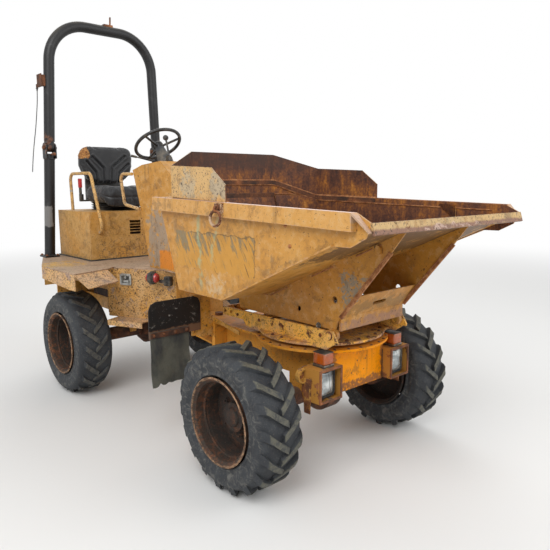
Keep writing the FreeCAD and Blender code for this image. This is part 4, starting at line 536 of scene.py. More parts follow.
def black_coat(name, chips=0.2, rust=0.15, grey=0.3, marks=()):
    """Black paint with chips, rust spots and greyed scuffs."""
    f = Finish(name)
    scuffs = f.span(f.noise(f.place, 12.0, 6.0, 0.7), 0.54, 0.74, 0.0, grey)
    colour = f.mix(scuffs, rgb(13, 13, 15), rgb(84, 84, 84))
    chipped = f.group(PATCHES, Scale=14.0, Amount=chips)["Mask"]
    specks = f.group(PATCHES, Scale=60.0, Amount=chips * 0.8)["Mask"]
    edge = f.group(EDGES, Radius=0.004, Break_up=0.5)["Mask"]
    rusted = f.math("MAXIMUM", f.group(PATCHES, Scale=7.0, Amount=rust)["Mask"], edge)
    rust_colours = f.group(RUST, Scale=14.0, Bright=-0.02)
    colour = f.mix(f.math("MAXIMUM", chipped, specks), colour, rgb(112, 108, 102))
    for low, high, ragged, tint, amount in marks:
        mark = f.math("MULTIPLY", f.region(low, high, ragged, 0.012), amount)
        if tint is None:
            broken = f.math("MULTIPLY", mark, f.group(PATCHES, Scale=22.0, Amount=0.75)["Mask"])
            colour = f.mix(broken, colour, rust_colours["Colour"])
        else:
            colour = f.mix(mark, colour, tint)
    colour = f.mix(rusted, colour, rust_colours["Colour"])
    grime = f.group(GRIME, Dust=0.4, Runs=0.3)
    colour = f.mix(f.math("MULTIPLY", grime["Dust"], 0.6), colour, DUST)
    roughness = f.math("ADD", 0.46, f.math("MULTIPLY", f.math("MAXIMUM", rusted, chipped), 0.35))
    height = f.math("MULTIPLY", f.noise(f.place, 140.0, 3.0), 0.3)
    return f.show(colour, roughness, height=height, strength=0.25, distance=0.001)


def tyre_rubber(name, worn):
    """Weathered rubber: blue-grey between the lugs, olive dust on their tops, dried smears on the walls."""
    f = Finish(name)
    wheel = f.group(WHEEL)
    cloud = f.noise(f.place, 11.0, 7.0, 0.66)
    crumbs = f.noise(f.place, 130.0, 4.0, 0.7)
    colour = f.mix(f.span(cloud, 0.36, 0.68, 0.0, 0.7), rgb(36, 39, 44), rgb(66, 69, 72))
    smears = f.noise(f.stretch(wheel["Round"], (7.0, 7.0, 9.0)), 1.0, 7.0, 0.72, 1.2)
    wall = f.math("MULTIPLY", f.span(wheel["Radius"], 0.352, 0.335), f.span(smears, 0.47, 0.68))
    colour = f.mix(f.math("MULTIPLY", wall, 0.75), colour, rgb(112, 110, 104))
    top = f.span(wheel["Radius"], 0.380, 0.386)
    dusty = f.math("MULTIPLY", top, f.span(f.noise(f.place, 34.0, 6.0, 0.7), 0.30, 0.62))
    colour = f.mix(f.math("MULTIPLY", dusty, 0.75), colour, rgb(104, 102, 88) if not worn else rgb(96, 94, 86))
    colour = f.mix(f.span(crumbs, 0.50, 0.80, 0.0, 0.45), colour, rgb(28, 29, 31))
    colour = f.mix(f.span(crumbs, 0.44, 0.26, 0.0, 0.40), colour, rgb(128, 122, 108))
    height = f.math("ADD", f.math("MULTIPLY", crumbs, 0.7), f.math("MULTIPLY", cloud, 0.6))
    return f.show(colour, f.span(cloud, 0.3, 0.7, 0.66, 0.86), height=height, strength=0.45, distance=0.0016)


def rim_finish(name):
    """Rusted wheel: pale chipped flange, brown barrel, mud clods, and painted shade that darkens the barrel to near
    black towards the dish.
    """
    f = Finish(name)
    wheel = f.group(WHEEL)
    rust = f.group(RUST, Scale=12.0, Bright=-0.02)
    clods = f.noise(f.place, 46.0, 6.0, 0.72)
    specks = f.noise(f.place, 120.0, 5.0, 0.75)
    colour = f.mix(f.span(clods, 0.42, 0.58), rust["Colour"], rgb(54, 46, 38))
    # Painted shade: the barrel darkens to near black the further inside the wheel it lies, towards the dish.
    barrel_painted_shade = f.span(wheel["Out"], 0.105, 0.02)
    colour = f.mix(f.math("MULTIPLY", barrel_painted_shade, 0.66), colour, rgb(24, 22, 21))
    colour = f.mix(f.span(specks, 0.60, 0.68, 0.0, 0.6), colour, rgb(128, 108, 84))
    colour = f.mix(f.span(specks, 0.42, 0.34, 0.0, 0.7), colour, rgb(14, 13, 13))
    flange = f.math("MULTIPLY", f.span(wheel["Radius"], 0.219, 0.225), f.span(wheel["Out"], 0.10, 0.12))
    bright = f.span(f.noise(f.stretch(wheel["Round"], (9.0, 9.0, 60.0)), 1.0, 6.0, 0.7), 0.40, 0.60)
    colour = f.mix(f.math("MULTIPLY", flange, bright), colour, rgb(160, 126, 96))
    height = f.math("ADD", rust["Height"], f.math("MULTIPLY", clods, 2.4))
    return f.show(colour, 0.84, height=height, strength=0.55, distance=0.003)


def sheet_rubber(name):
    """Hanging rubber flap: dusty black with grey-green smudges."""
    f = Finish(name)
    cloud = f.noise(f.stretch(f.place, (1.0, 5.0, 3.0)), 1.0, 6.0, 0.62)
    colour = f.mix(f.span(cloud, 0.40, 0.64), rgb(48, 49, 51), rgb(92, 92, 82))
    fine = f.noise(f.place, 90.0, 5.0, 0.7)
    colour = f.mix(f.span(fine, 0.5, 0.8, 0.0, 0.5), colour, rgb(30, 30, 31))
    return f.show(colour, 0.8, height=fine, strength=0.35, distance=0.0012)


def seat_cover(name, torn=None):
    """Black leathercloth with a pebbled grain; torn names the corner that shows its foam."""
    f = Finish(name, Sheen_Weight=0.15)
    cells = f.add("ShaderNodeTexVoronoi", {"Vector": f.place, "Scale": 420.0}).outputs["Distance"]
    cloud = f.noise(f.place, 16.0, 6.0, 0.66)
    colour = f.mix(f.span(cloud, 0.50, 0.80, 0.0, 0.4), rgb(22, 23, 26), rgb(66, 66, 68))
    height = f.math("MULTIPLY", cells, 0.6)
    rough = f.span(cloud, 0.3, 0.7, 0.38, 0.62)
    if torn is not None:
        hole = f.region(*torn, 0.020, 0.004)
        foam = f.noise(f.place, 75.0, 7.0, 0.75)
        crust = f.ramp(foam, [(0.36, rgb(70, 44, 26)), (0.48, rgb(150, 96, 48)), (0.60, rgb(196, 146, 84)),
                              (0.72, rgb(222, 186, 130))])
        colour = f.mix(hole, colour, crust)
        height = f.math("ADD", height, f.math("MULTIPLY", f.math("MULTIPLY", hole, foam), 6.0))
        rough = f.blend(hole, rough, 0.9)
    return f.show(colour, rough, height=height, strength=0.4, distance=0.0012)


def plain_moulding(name, colour, rough=0.5, dust=0.3, worn=None):
    f = Finish(name)
    cloud = f.span(f.noise(f.place, 15.0, 6.0, 0.65), 0.4, 0.75, 0.0, dust)
    grain = f.noise(f.place, 420.0, 2.0)
    shade = f.mix(cloud, colour, DUST)
    if worn is not None:
        edge = f.group(EDGES, Radius=0.003, Break_up=0.9)["Mask"]
        shade = f.mix(edge, shade, worn)
    return f.show(shade, rough, height=grain, strength=0.15, distance=0.0005)


def oiled_steel(name, bright=rgb(176, 176, 174), dull_tint=rgb(112, 104, 92), low=0.22, high=0.5):
    f = Finish(name)
    dull = f.span(f.noise(f.place, 30.0, 5.0, 0.6), 0.45, 0.7)
    return f.show(f.mix(dull, bright, dull_tint), f.span(dull, 0.0, 1.0, low, high), metal=1.0)


def lens(name, colour, ribs_per_metre=60.0, direction="Z", dirt=0.35):
    """A tinted moulded lens over its bright backing; its ribs are bumped and painted in bands of painted shade that
    darken to half the tint.
    """
    f = Finish(name, Coat_Weight=0.6, Coat_Roughness=0.08)
    ribs = f.add("ShaderNodeTexWave", {"Vector": f.place, "Scale": ribs_per_metre, "Distortion": 0.0},
                 wave_type="BANDS", bands_direction=direction).outputs["Fac"]
    cloud = f.span(f.noise(f.place, 35.0, 5.0), 0.4, 0.8, 0.0, dirt)
    # Painted shade: the ribs' bands darken the tint to half where shade falls on them.
    shade = tuple(c * 0.5 for c in colour[:3]) + (1.0,)
    return f.show(f.mix(cloud, f.mix(ribs, colour, shade), DUST), 0.14, height=ribs, strength=0.3, distance=0.001)


def headlamp_glass(name):
    """Fluted glass painted with the bright and dark reflections of a silvered reflector behind it, and with dark
    streaks that run down it.
    """
    f = Finish(name, Coat_Weight=0.8, Coat_Roughness=0.06)
    flutes = f.add("ShaderNodeTexWave", {"Vector": f.place, "Scale": 26.0, "Distortion": 0.0},
                   wave_type="BANDS", bands_direction="Y").outputs["Fac"]
    # Painted reflection: stretched bright and dark patches stand in for the silvered reflector seen through the glass.
    painted_reflection = f.noise(f.stretch(f.place, (1.0, 9.0, 16.0)), 1.0, 4.0, 0.55)
    colour = f.ramp(painted_reflection, [(0.34, rgb(92, 98, 100)), (0.48, rgb(150, 156, 156)), (0.62, rgb(214, 218, 216))])
    runs = f.span(f.noise(f.stretch(f.place, (1.0, 75.0, 4.0)), 1.0, 4.0, 0.6), 0.60, 0.68)
    colour = f.mix(f.math("MULTIPLY", runs, 0.8), colour, rgb(44, 42, 38))
    return f.show(colour, 0.16, metal=0.35, height=flutes, strength=0.35, distance=0.0015)


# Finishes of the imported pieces
DECK_Z = 0.981
console_marks = (
    ((-0.52, -0.30, 0.99), (-0.22, -0.20, 1.40), 0.10, rgb(150, 138, 124), 0.80),
    ((-0.375, -0.30, 0.985), (-0.175, -0.20, 1.13), 0.012, rgb(214, 128, 28), 0.95),
    ((-0.652, -0.30, 1.646), (-0.628, -0.20, 1.668), 0.008, rgb(30, 26, 22), 0.95),
    ((-0.640, -0.30, 1.612), (-0.618, -0.20, 1.628), 0.008, rgb(30, 26, 22), 0.95),
    ((-0.397, -0.30, 1.672), (-0.381, -0.20, 1.688), 0.004, rgb(92, 58, 32), 0.9),
)
cover_marks = (
    ((-1.80, -0.50, 0.97), (-1.15, 0.50, 1.01), 0.05, rgb(128, 106, 76), 0.60),
    ((-1.14, -0.36, 0.97), (-1.11, 0.46, 1.13), 0.13, rgb(84, 78, 66), 0.85),
    ((-1.14, -0.30, 1.05), (-1.11, 0.46, 1.26), 0.16, rgb(120, 88, 48), 0.60),
    ((-1.13, -0.26, 1.24), (-1.11, -0.19, 1.30), 0.05, rgb(104, 80, 40), 0.65),
    ((-1.13, -0.44, 0.99), (-1.116, -0.415, 1.37), 0.010, PALE, 0.6),
)
deck_marks = (
    ((-1.79, -0.82, 0.90), (-0.15, 0.82, 1.05), 0.05, rgb(172, 146, 124), 0.55),
    ((-1.30, -0.82, 0.97), (-0.98, -0.50, 1.05), 0.10, rgb(212, 164, 60), 0.8),
)
guard_marks = (((0.20, -0.70, 1.50), (0.93, -0.55, 1.80), 0.03, rgb(204, 166, 108), 0.75),
               ((0.52, -0.70, 1.52), (0.66, -0.55, 1.66), 0.10, rgb(176, 162, 136), 0.7),
               ((0.80, -0.70, 1.50), (0.93, -0.55, 1.70), 0.06, rgb(176, 160, 134), 0.85))
under_marks = (((1.38, -0.30, 0.80), (1.41, 0.30, 0.905), 0.024, rgb(152, 112, 88), 0.85),
               ((1.39, -0.26, 0.925), (1.46, 0.26, 1.01), 0.05, rgb(136, 100, 48), 0.7),
               ((1.41, -0.30, 0.99), (1.56, -0.25, 1.15), 0.07, rgb(132, 128, 114), 0.85),
               ((0.60, -0.30, 0.79), (1.40, -0.25, 0.83), 0.03, rgb(150, 104, 50), 0.6))
hoop_marks = (((-1.75, -0.65, 1.86), (-1.55, -0.50, 2.02), 0.05, None, 0.9),
              ((-1.75, 0.50, 1.86), (-1.55, 0.65, 2.02), 0.05, None, 0.9),
              ((-1.72, -0.62, 1.235), (-1.58, -0.52, 1.42), 0.012, rgb(120, 118, 116), 0.9))

body_paint = worn_paint("body_paint", FADED, MUSTARD, chips=0.22, rust=0.16, shift=(0.3, 0.9, 0.1), rough=0.55)
panel_paint = worn_paint("panel_paint", FADED, rgb(196, 158, 110), chips=0.46, rust=0.30, patch_scale=9.0,
                         shift=(0.3, 0.9, 0.1), under=rgb(168, 140, 116), rough=0.6)
console_paint = worn_paint("console_paint", FADED, MUSTARD, chips=0.16, rust=0.10, marks=console_marks, rough=0.55)
cover_paint = worn_paint("cover_paint", FADED, rgb(190, 148, 84), chips=0.14, rust=0.12, marks=cover_marks,
                         shift=(0.7, 0.2, 0.5), rough=0.55)
deck_paint = worn_paint("deck_paint", rgb(198, 168, 138), rgb(166, 142, 120), chips=0.30, rust=0.26, scratches=0.5,
                        marks=deck_marks, under=rgb(176, 152, 136), shift=(1.1, 0.4, 0.2), rough=0.62, dust=0.5)
fender_paint = worn_paint("fender_paint", rgb(218, 172, 108), rgb(208, 168, 128), chips=0.48, rust=0.34,
                          under=rgb(182, 152, 134), shift=(0.2, 0.4, 2.2), rough=0.6, patch_scale=7.0)
chassis_paint = worn_paint("chassis_paint", FRESH, FADED, chips=0.30, rust=0.42, edges=1.0, shift=(2.0, 0.1, 0.7),
                           under=rgb(168, 132, 104), dust=0.5,
                           marks=(((0.2, -0.40, 0.38), (1.30, 0.40, 0.60), 0.06, rgb(120, 84, 48), 0.6),))
front_plate_paint = worn_paint(
    "front_plate_paint", rgb(240, 150, 0), rgb(232, 142, 0), gloss=0.12, chips=0.08, mottle=0.06, rust=0.16, edges=0.7, dust=0.5,
    shift=(1.0, 2.1, 0.7), under=rgb(150, 104, 60),
    marks=(((-0.10, -0.40, 0.38), (1.28, 0.40, 0.74), 0.02, FADED, 0.7),
           ((1.28, -0.40, 0.46), (1.32, 0.40, 0.515), 0.03, rgb(126, 82, 52), 0.9),
           ((1.28, -0.25, 0.52), (1.32, -0.19, 0.72), 0.03, rgb(140, 92, 56), 0.8),
           ((1.28, 0.19, 0.52), (1.32, 0.25, 0.72), 0.03, rgb(140, 92, 56), 0.8)))
turntable_paint = worn_paint("turntable_paint", rgb(250, 184, 58), rgb(232, 178, 96), chips=0.34, rust=0.44, edges=1.0,
                             shift=(0.0, 1.1, 0.7), under=rgb(184, 138, 116), patch_scale=8.0,
                             marks=(((0.40, -0.40, 0.70), (1.40, 0.40, 0.765), 0.03, rgb(178, 132, 104), 0.75),))
skip_paint = skip_finish("skip_paint", MUSTARD, FADED, peeled=True,
                         marks=(((1.42, -0.58, 1.20), (1.87, 0.58, 1.43), 0.10, rgb(84, 58, 34), 0.85),), chips=0.05, rust=0.07, edges=0.9, runs=0.25,
                         scratches=0.15, edge_tint=PINK, rough=0.5)
skip_rim_paint = skip_finish("skip_rim_paint", rgb(204, 152, 82), FADED, chips=0.16, rust=0.16, edges=1.0,
                             edge_tint=PINK, under=rgb(184, 166, 146), shift=(0.2, 1.4, 0.6), patch_scale=9.0,
                             top_tint=rgb(208, 174, 156),
                             marks=(((1.797, -0.72, 1.38), (1.89, 0.72, 1.49), 0.024, rgb(180, 152, 130), 0.8),))
guard_paint = skip_finish("guard_paint", rgb(206, 160, 96), PALE, lift=0.2, chips=0.36, rust=0.20, edges=1.0,
                          under=rgb(178, 164, 140), marks=guard_marks, patch_scale=10.0, edge_tint=rgb(118, 88, 66))
lip_paint = worn_paint("lip_paint", rgb(200, 164, 104), rgb(186, 158, 112), chips=0.30, rust=0.30, edges=1.0,
                       under=rgb(170, 146, 128), patch_scale=14.0, edge_tint=rgb(118, 80, 62),
                       marks=(((1.86, -0.7, 1.38), (1.90, 0.7, 1.4195), 0.007, rgb(126, 86, 72), 0.9),
                              ((1.86, -0.35, 1.388), (1.90, 0.20, 1.408), 0.030, rgb(206, 178, 162), 0.8)))
under_paint = worn_paint("under_paint", MUSTARD, rgb(180, 124, 52), chips=0.12, rust=0.16, edges=0.8, runs=0.2,
                         scratches=0.2, marks=under_marks, under=rgb(138, 132, 116), shift=(0.4, 0.0, 0.0))
lug_paint = rusted_steel("lug_rust", bright=0.06, scale=16.0, dust=0.2, tint=rgb(186, 156, 126), tinted=0.62)
black_paint = black_coat("black_paint", marks=hoop_marks)
mudguard_black = black_coat("mudguard_black", chips=0.42, rust=0.10, grey=0.35,
                            marks=(((0.30, -0.80, 0.68), (0.40, -0.38, 0.742), 0.012, rgb(120, 88, 66), 0.9),
                                   ((0.30, 0.38, 0.68), (0.40, 0.80, 0.742), 0.012, rgb(120, 88, 66), 0.9),
                                   ((0.30, -0.632, 0.808), (0.40, -0.616, 0.822), 0.004, rgb(206, 204, 198), 1.0),
                                   ((0.30, -0.590, 0.848), (0.40, -0.566, 0.860), 0.008, rgb(190, 188, 182), 1.0)))
rusty = rusted_steel("rusty_steel")
bracket_rust = rusted_steel("bracket_rust", bright=0.07, scale=12.0, tint=rgb(186, 138, 62), tinted=0.60)
lamp_box_rust = rusted_steel("lamp_box_rust", bright=0.06, scale=10.0, tint=rgb(172, 120, 46), tinted=0.85,
                             bare_from=1.356)
axle_iron = rusted_steel("axle_iron", bright=-0.03, scale=14.0, dust=0.6)
engine_grey = rusted_steel("engine_grey", bright=-0.14, scale=20.0)
bead_rust = rusted_steel("weld_rust", bright=0.17, scale=26.0, dust=0.1)
front_rubber = tyre_rubber("tyre_front", False)
rear_rubber = tyre_rubber("tyre_rear", True)
rim_rust = rim_finish("rim_rust")
flap_rubber = sheet_rubber("flap_rubber")
dull_rubber = plain_moulding("dull_rubber", rgb(34, 34, 35), 0.7, 0.5)
black_plastic = plain_moulding("black_plastic", rgb(31, 31, 33), 0.45)
column_plastic = plain_moulding("column_plastic", rgb(52, 54, 57), 0.55, 0.5)
red_plastic = plain_moulding("red_plastic", rgb(186, 34, 36), 0.42, 0.15)
grip_plastic = plain_moulding("grip_plastic", rgb(27, 27, 29), 0.38, 0.25)
bright_steel = oiled_steel("bright_steel")
zinc = oiled_steel("zinc_fasteners", rgb(150, 146, 138), rgb(92, 76, 60), 0.4, 0.7)
rust_bolts = rusted_steel("bolt_rust", bright=0.03, scale=60.0, dust=0.3)
latch_grey = oiled_steel("latch_grey", rgb(186, 186, 182), rgb(128, 124, 116), 0.42, 0.7)
amber_lens = lens("amber_lens", rgb(196, 92, 20))
red_lens = lens("red_lens", rgb(196, 32, 30), 90.0, "X", 0.25)
lamp_glass = headlamp_glass("lamp_glass")
back_vinyl = seat_cover("back_vinyl", torn=((-1.70, -0.34, 1.815), (-1.50, -0.205, 1.96)))
seat_vinyl = seat_cover("seat_vinyl")
handle_paint = worn_paint("handle_paint", rgb(214, 168, 96), PALE, chips=0.42, rust=0.24, patch_scale=16.0,
                          under=rgb(176, 170, 158), shift=(0.1, 0.2, 0.3))

FINISHES = {
    "body_paint": body_paint, "chassis_paint": chassis_paint, "skip_paint": skip_paint,
    "black_paint": black_paint, "rusty_steel": rusty, "bright_steel": bright_steel, "rim_paint": rim_rust,
    "axle_iron": axle_iron, "engine_grey": engine_grey, "tyre": front_rubber, "rubber": dull_rubber,
    "seat_vinyl": seat_vinyl, "lamp_lens": lamp_glass, "amber_lens": amber_lens, "red_lens": red_lens,
    "red_plastic": red_plastic, "black_plastic": black_plastic,
}
NODE_FINISHES = {
    "console": console_paint, "engine_cover": cover_paint, "rear_deck": deck_paint, "rear_fenders": fender_paint,
    "side_panels": panel_paint, "steps": fender_paint, "rear_panel": cover_paint, "front_frame": front_plate_paint,
    "turntable": turntable_paint, "skip_rims": skip_rim_paint, "spill_guard": guard_paint, "skip_lip": lip_paint,
    "skip_under_frame": under_paint, "lifting_lugs": lug_paint, "mudguard_plates": mudguard_black,
    "headlamp_boxes": lamp_box_rust, "lamp_brackets": bracket_rust, "latches": latch_grey,
    "steering_column": column_plastic, "steering_wheel": grip_plastic, "seat_handle": handle_paint,
    "console_handle": handle_paint, "hoop_brackets": rusty,
}
for part in frame["record"]["subparts"]:
    obj = nodes[part["node"]]
    obj.data.materials.clear()
    obj.data.materials.append(NODE_FINISHES.get(part["node"], FINISHES[part["material_slot"]]))


# Piece-making helpers
def piece(name, bm, material, body, replaced=(), sharp=32.0):
    """Turns a bmesh into an object at the origin that rides on a body."""
    bmesh.ops.remove_doubles(bm, verts=bm.verts, dist=0.00001)
    bmesh.ops.recalc_face_normals(bm, faces=bm.faces)
    mesh = bpy.data.meshes.new(name)
    bm.to_mesh(mesh)
    bm.free()
    mesh.materials.append(material)
    mesh.shade_smooth()
    mesh.set_sharp_from_angle(angle=math.radians(sharp))
    made = bpy.data.objects.new(name, mesh)
    scene.collection.objects.link(made)
    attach(made, body)
    if replaced:
        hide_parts(*replaced)
    return made


def turned_to(way):
    """Turns Z to a direction."""
    return Vector(way).to_track_quat("Z", "Y").to_matrix().to_4x4()


def soften(bm, edges, offset, segments=2):
    bmesh.ops.bevel(bm, geom=edges, offset=offset, segments=segments, profile=0.5, affect="EDGES", material=-1)


def rod(bm, start, end, radius, tip=None, sides=20):
    start = Vector(start)
    end = Vector(end)
    way = end - start
    place = Matrix.Translation((start + end) / 2) @ turned_to(way)
    bmesh.ops.create_cone(bm, cap_ends=True, segments=sides, radius1=radius,
                          radius2=radius if tip is None else tip, depth=way.length, matrix=place)


def block(bm, low, high, rounding=0.0, segments=2, place=None):
    """A box between two corners with rounded edges."""
    low = Vector(low)
    high = Vector(high)
    matrix = Matrix.Translation((low + high) / 2) @ Matrix.Diagonal((*(high - low), 1.0))
    if place is not None:
        matrix = place @ matrix
    verts = bmesh.ops.create_cube(bm, size=1.0, matrix=matrix)["verts"]
    if rounding:
        soften(bm, list({edge for vert in verts for edge in vert.link_edges}), rounding, segments)


def lathe(bm, profile, centre, way, steps=40):
    """Spins a profile of (radius, distance along the axis) right round."""
    place = Matrix.Translation(Vector(centre)) @ turned_to(way)
    verts = [bm.verts.new(place @ Vector((radius, 0.0, along))) for radius, along in profile]
    edges = [bm.edges.new(pair) for pair in zip(verts, verts[1:])]
    bmesh.ops.spin(bm, geom=verts + edges, cent=centre, axis=Vector(way).normalized(), angle=2 * math.pi,
                   steps=steps, use_merge=True)


def bolt(bm, place, way, across=0.015, tall=0.007):
    """A hexagon head on its washer."""
    place = Vector(place)
    way = Vector(way).normalized()
    rod(bm, place - way * 0.002, place + way * 0.0025, across * 0.78)
    rod(bm, place, place + way * (tall + 0.002), across * 0.577, across * 0.50, 6)


def weld(bm, points, radius=0.004):
    """A bead of overlapping blobs along straight runs."""
    points = [Vector(point) for point in points]
    for start, end in zip(points, points[1:]):
        way = end - start
        count = max(2, int(way.length / (radius * 1.5)))
        for number in range(count):
            place = start + way * ((number + 0.5) / count)
            size = radius * random.uniform(0.85, 1.15)
            bmesh.ops.create_icosphere(bm, subdivisions=1, radius=size, matrix=Matrix.Translation(place))


def swing(verts, bm, angle, centre, axis="Y"):
    bmesh.ops.rotate(bm, verts=verts, cent=centre, matrix=Matrix.Rotation(angle, 3, axis))


# Tyres
LUGS = 18
LUG_LEAD = math.radians(17.0)


def on_wheel(radius, y, angle):
    """A point of a wheel at the origin; the angle runs from the top towards the front."""
    return Vector((radius * math.sin(angle), y, radius * math.cos(angle)))


def make_lug(bm, side, start, tread, worn):
    """One tread bar, drawn flat as a grid, raised, and laid on the tyre from its shoulder to past the middle."""
    made = bmesh.ops.create_grid(bm, x_segments=12, y_segments=3, size=0.5)["verts"]
    faces = list({face for vert in made for face in vert.link_faces})
    grown = bmesh.ops.extrude_face_region(bm, geom=faces)["geom"]
    bmesh.ops.delete(bm, geom=faces, context="FACES_ONLY")
    tops = [item for item in grown if isinstance(item, bmesh.types.BMVert)]
    top_set = set(tops)
    outer = TYRE_HALF - (0.022 if worn else 0.003)
    for vert in made + tops:
        along = vert.co.x + 0.5
        across = vert.co.y
        high = vert in top_set
        away = outer + (-0.014 - outer) * along
        bow = 0.10 * math.sin(math.pi * along)
        angle = start + LUG_LEAD * (along ** 1.25 + bow)
        width = 0.034 + 0.020 * max(0.0, 1.0 - along * 3.0) - 0.003 * along
        if not high:
            width += 0.014
        drop = max(0.0, 1.0 - along * 4.6)
        radius = TYRE_RADIUS - 0.0028 - (0.040 if worn else 0.048) * drop ** 1.6 if high else tread - 0.006 - 0.045 * drop
        vert.co = on_wheel(radius, side * away, angle + across * width / TYRE_RADIUS)
    rim = [edge for edge in {e for vert in tops for e in vert.link_edges}
           if all(v in top_set for v in edge.verts) and any(not all(v in top_set for v in face.verts)
                                                            for face in edge.link_faces)]
    soften(bm, rim, 0.0025 if not worn else 0.005, 2)


def make_tyre(name, x, side, height, worn, material, body):
    """Carcass with rings on its walls and two rows of lugs half a pitch apart."""
    tread = TYRE_RADIUS - height
    bm = bmesh.new()
    for lug_side, shift in ((-1, 0.15), (1, 0.65)):
        single = bmesh.new()
        make_lug(single, lug_side, 0.0, tread, worn)
        mesh = bpy.data.meshes.new("lug")
        single.to_mesh(mesh)
        single.free()
        for number in range(LUGS):
            known = set(bm.verts)
            bm.from_mesh(mesh)
            fresh = [vert for vert in bm.verts if vert not in known]
            wobble = random.uniform(-0.006, 0.006)
            swing(fresh, bm, (number + shift) * 2 * math.pi / LUGS + wobble, (0, 0, 0))
            if worn:
                for vert in fresh:
                    vert.co *= 1.0 - random.uniform(0.0, 0.0025)
        bpy.data.meshes.remove(mesh)
    wall = [(0.230, 0.104), (0.238, 0.119), (0.246, 0.1245), (0.254, 0.1240), (0.258, 0.1205), (0.270, 0.1225),
            (0.285, 0.1275), (0.289, 0.1297), (0.294, 0.1297), (0.298, 0.1285), (0.316, 0.1315), (0.332, 0.1310),
            (tread - 0.026, 0.1265), (tread - 0.014, 0.1150), (tread - 0.006, 0.0940), (tread - 0.001, 0.0560),
            (tread, 0.0200)]
    profile = [(r, -y) for r, y in wall] + [(r, y) for r, y in reversed(wall)]
    lathe(bm, profile, (0, 0, 0), (0, 1, 0), 72)
    if side > 0:
        bmesh.ops.scale(bm, vec=(1, -1, 1), verts=bm.verts)
    bmesh.ops.translate(bm, vec=(x, side * TRACK / 2, TYRE_RADIUS), verts=bm.verts)
    bm.normal_update()
    return piece(name, bm, material, body, (body.replace("wheel", "tyre"),), 38.0)


def make_wheel_fittings(name, x, side, body):
    """Wheel nuts and studs on the dish, the hub's cap, the lock ring's ledge and the valve."""
    bm = bmesh.new()
    face = side * (TRACK / 2 - 0.006)
    out = Vector((0, side, 0))
    for number in range(5):
        angle = number * 2 * math.pi / 5 + 0.3
        spot = on_wheel(0.105, 0.0, angle) + Vector((x, face, TYRE_RADIUS))
        rod(bm, spot - out * 0.002, spot + out * 0.004, 0.017)
        rod(bm, spot, spot + out * 0.018, 0.0145, 0.0135, 6)
        rod(bm, spot, spot + out * 0.030, 0.0065, 0.0055, 12)
    centre = Vector((x, side * (TRACK / 2 + 0.030), TYRE_RADIUS))
    lathe(bm, [(0.0, 0.016), (0.030, 0.015), (0.046, 0.009), (0.052, 0.0), (0.070, -0.001), (0.070, -0.006)],
          centre, out, 32)
    ledge = Vector((x, side * (TRACK / 2 + TYRE_HALF - 0.064), TYRE_RADIUS))
    lathe(bm, [(0.209, 0.006), (0.198, 0.006), (0.194, 0.001), (0.196, -0.006), (0.209, -0.008)], ledge, out, 56)
    seat = Vector((x, side * (TRACK / 2 + 0.060), TYRE_RADIUS)) + on_wheel(0.190, 0, 0.9)
    rod(bm, seat, seat + out * 0.030 - on_wheel(0.008, 0, 0.9), 0.005, 0.004, 12)
    return piece(name, bm, rim_rust, body, ())


WHEELS = (("front_right", 1.015, -1, 0.025, False), ("front_left", 1.015, 1, 0.025, False),
          ("rear_right", -1.015, -1, 0.014, True), ("rear_left", -1.015, 1, 0.014, True))
for name, x, side, height, worn in WHEELS:
    body = "wheel_" + name
    make_tyre("tyre_tread_" + name, x, side, height, worn, rear_rubber if worn else front_rubber, body)
    make_wheel_fittings("wheel_nuts_" + name, x, side, body)


# Cable gland and material
cable.data.materials.append(black_plastic)


def cable_gland():
    """The tapered grommet where the cable leaves the tube, and the cut end's bare strands."""
    bm = bmesh.new()
    start = Vector(CABLE_ROUTE[0])
    way = (Vector(CABLE_ROUTE[1]) - start).normalized()
    lathe(bm, [(0.0036, 0.022), (0.0050, 0.020), (0.0062, 0.006), (0.0100, 0.003), (0.0104, -0.002),
               (0.0080, -0.004)], start, way, 16)
    end = Vector(CABLE_ROUTE[-1])
    last = (end - Vector(CABLE_ROUTE[-2])).normalized()
    for number in range(5):
        lean = Vector((random.uniform(-1, 1), random.uniform(-1, 1), 0)) * 0.12
        rod(bm, end - last * 0.002, end + (last + lean).normalized() * 0.006, 0.0007, sides=6)
    return piece("cable_gland", bm, black_plastic, "rollbar_hoop", ())


cable_gland()


# Lifting rings
def ring_round(bm, centre, way, radius, wire, steps=40):
    """A closed ring of round bar."""
    centre = Vector(centre)
    way = Vector(way).normalized()
    out = way.orthogonal().normalized()
    made = bmesh.ops.create_circle(bm, cap_ends=False, segments=14, radius=wire)["verts"]
    place = Matrix.Translation(centre + out * radius)
    place = place @ out.cross(way).to_track_quat("Z", "Y").to_matrix().to_4x4()
    bmesh.ops.transform(bm, matrix=place, verts=made)
    edges = list({edge for vert in made for edge in vert.link_edges})
    bmesh.ops.spin(bm, geom=made + edges, cent=centre, axis=way, angle=2 * math.pi, steps=steps, use_merge=True)


def lifting_ring(side):
    """The ring that hangs from its lug, the shackle through the lug's hole and the lug's weld."""
    bm = bmesh.new()
    ring_round(bm, (0.898, side * 0.6705, 1.4205), (0.10, side, 0.06), 0.0385, 0.0078)
    ring_round(bm, (0.905, side * 0.6650, 1.4690), (1, side * 0.25, 0.15), 0.0150, 0.0062, 24)
    rod(bm, (0.905, side * 0.6405, 1.472), (0.905, side * 0.6660, 1.472), 0.0095)
    weld(bm, [(0.874, side * 0.6455, 1.500), (0.874, side * 0.6455, 1.452)], 0.0035)
    weld(bm, [(0.936, side * 0.6455, 1.500), (0.936, side * 0.6455, 1.452)], 0.0035)
    name = "lifting_ring_" + ("right" if side < 0 else "left")
    return piece(name, bm, lug_paint, "skip", ())


# Load space and skip welds
BACK_FOOT = (0.420, 0.980)
BACK_HEAD = (0.215, 1.519)


def back_at(z):
    return BACK_FOOT[0] - (z - BACK_FOOT[1]) * (BACK_FOOT[0] - BACK_HEAD[0]) / (BACK_HEAD[1] - BACK_FOOT[1])


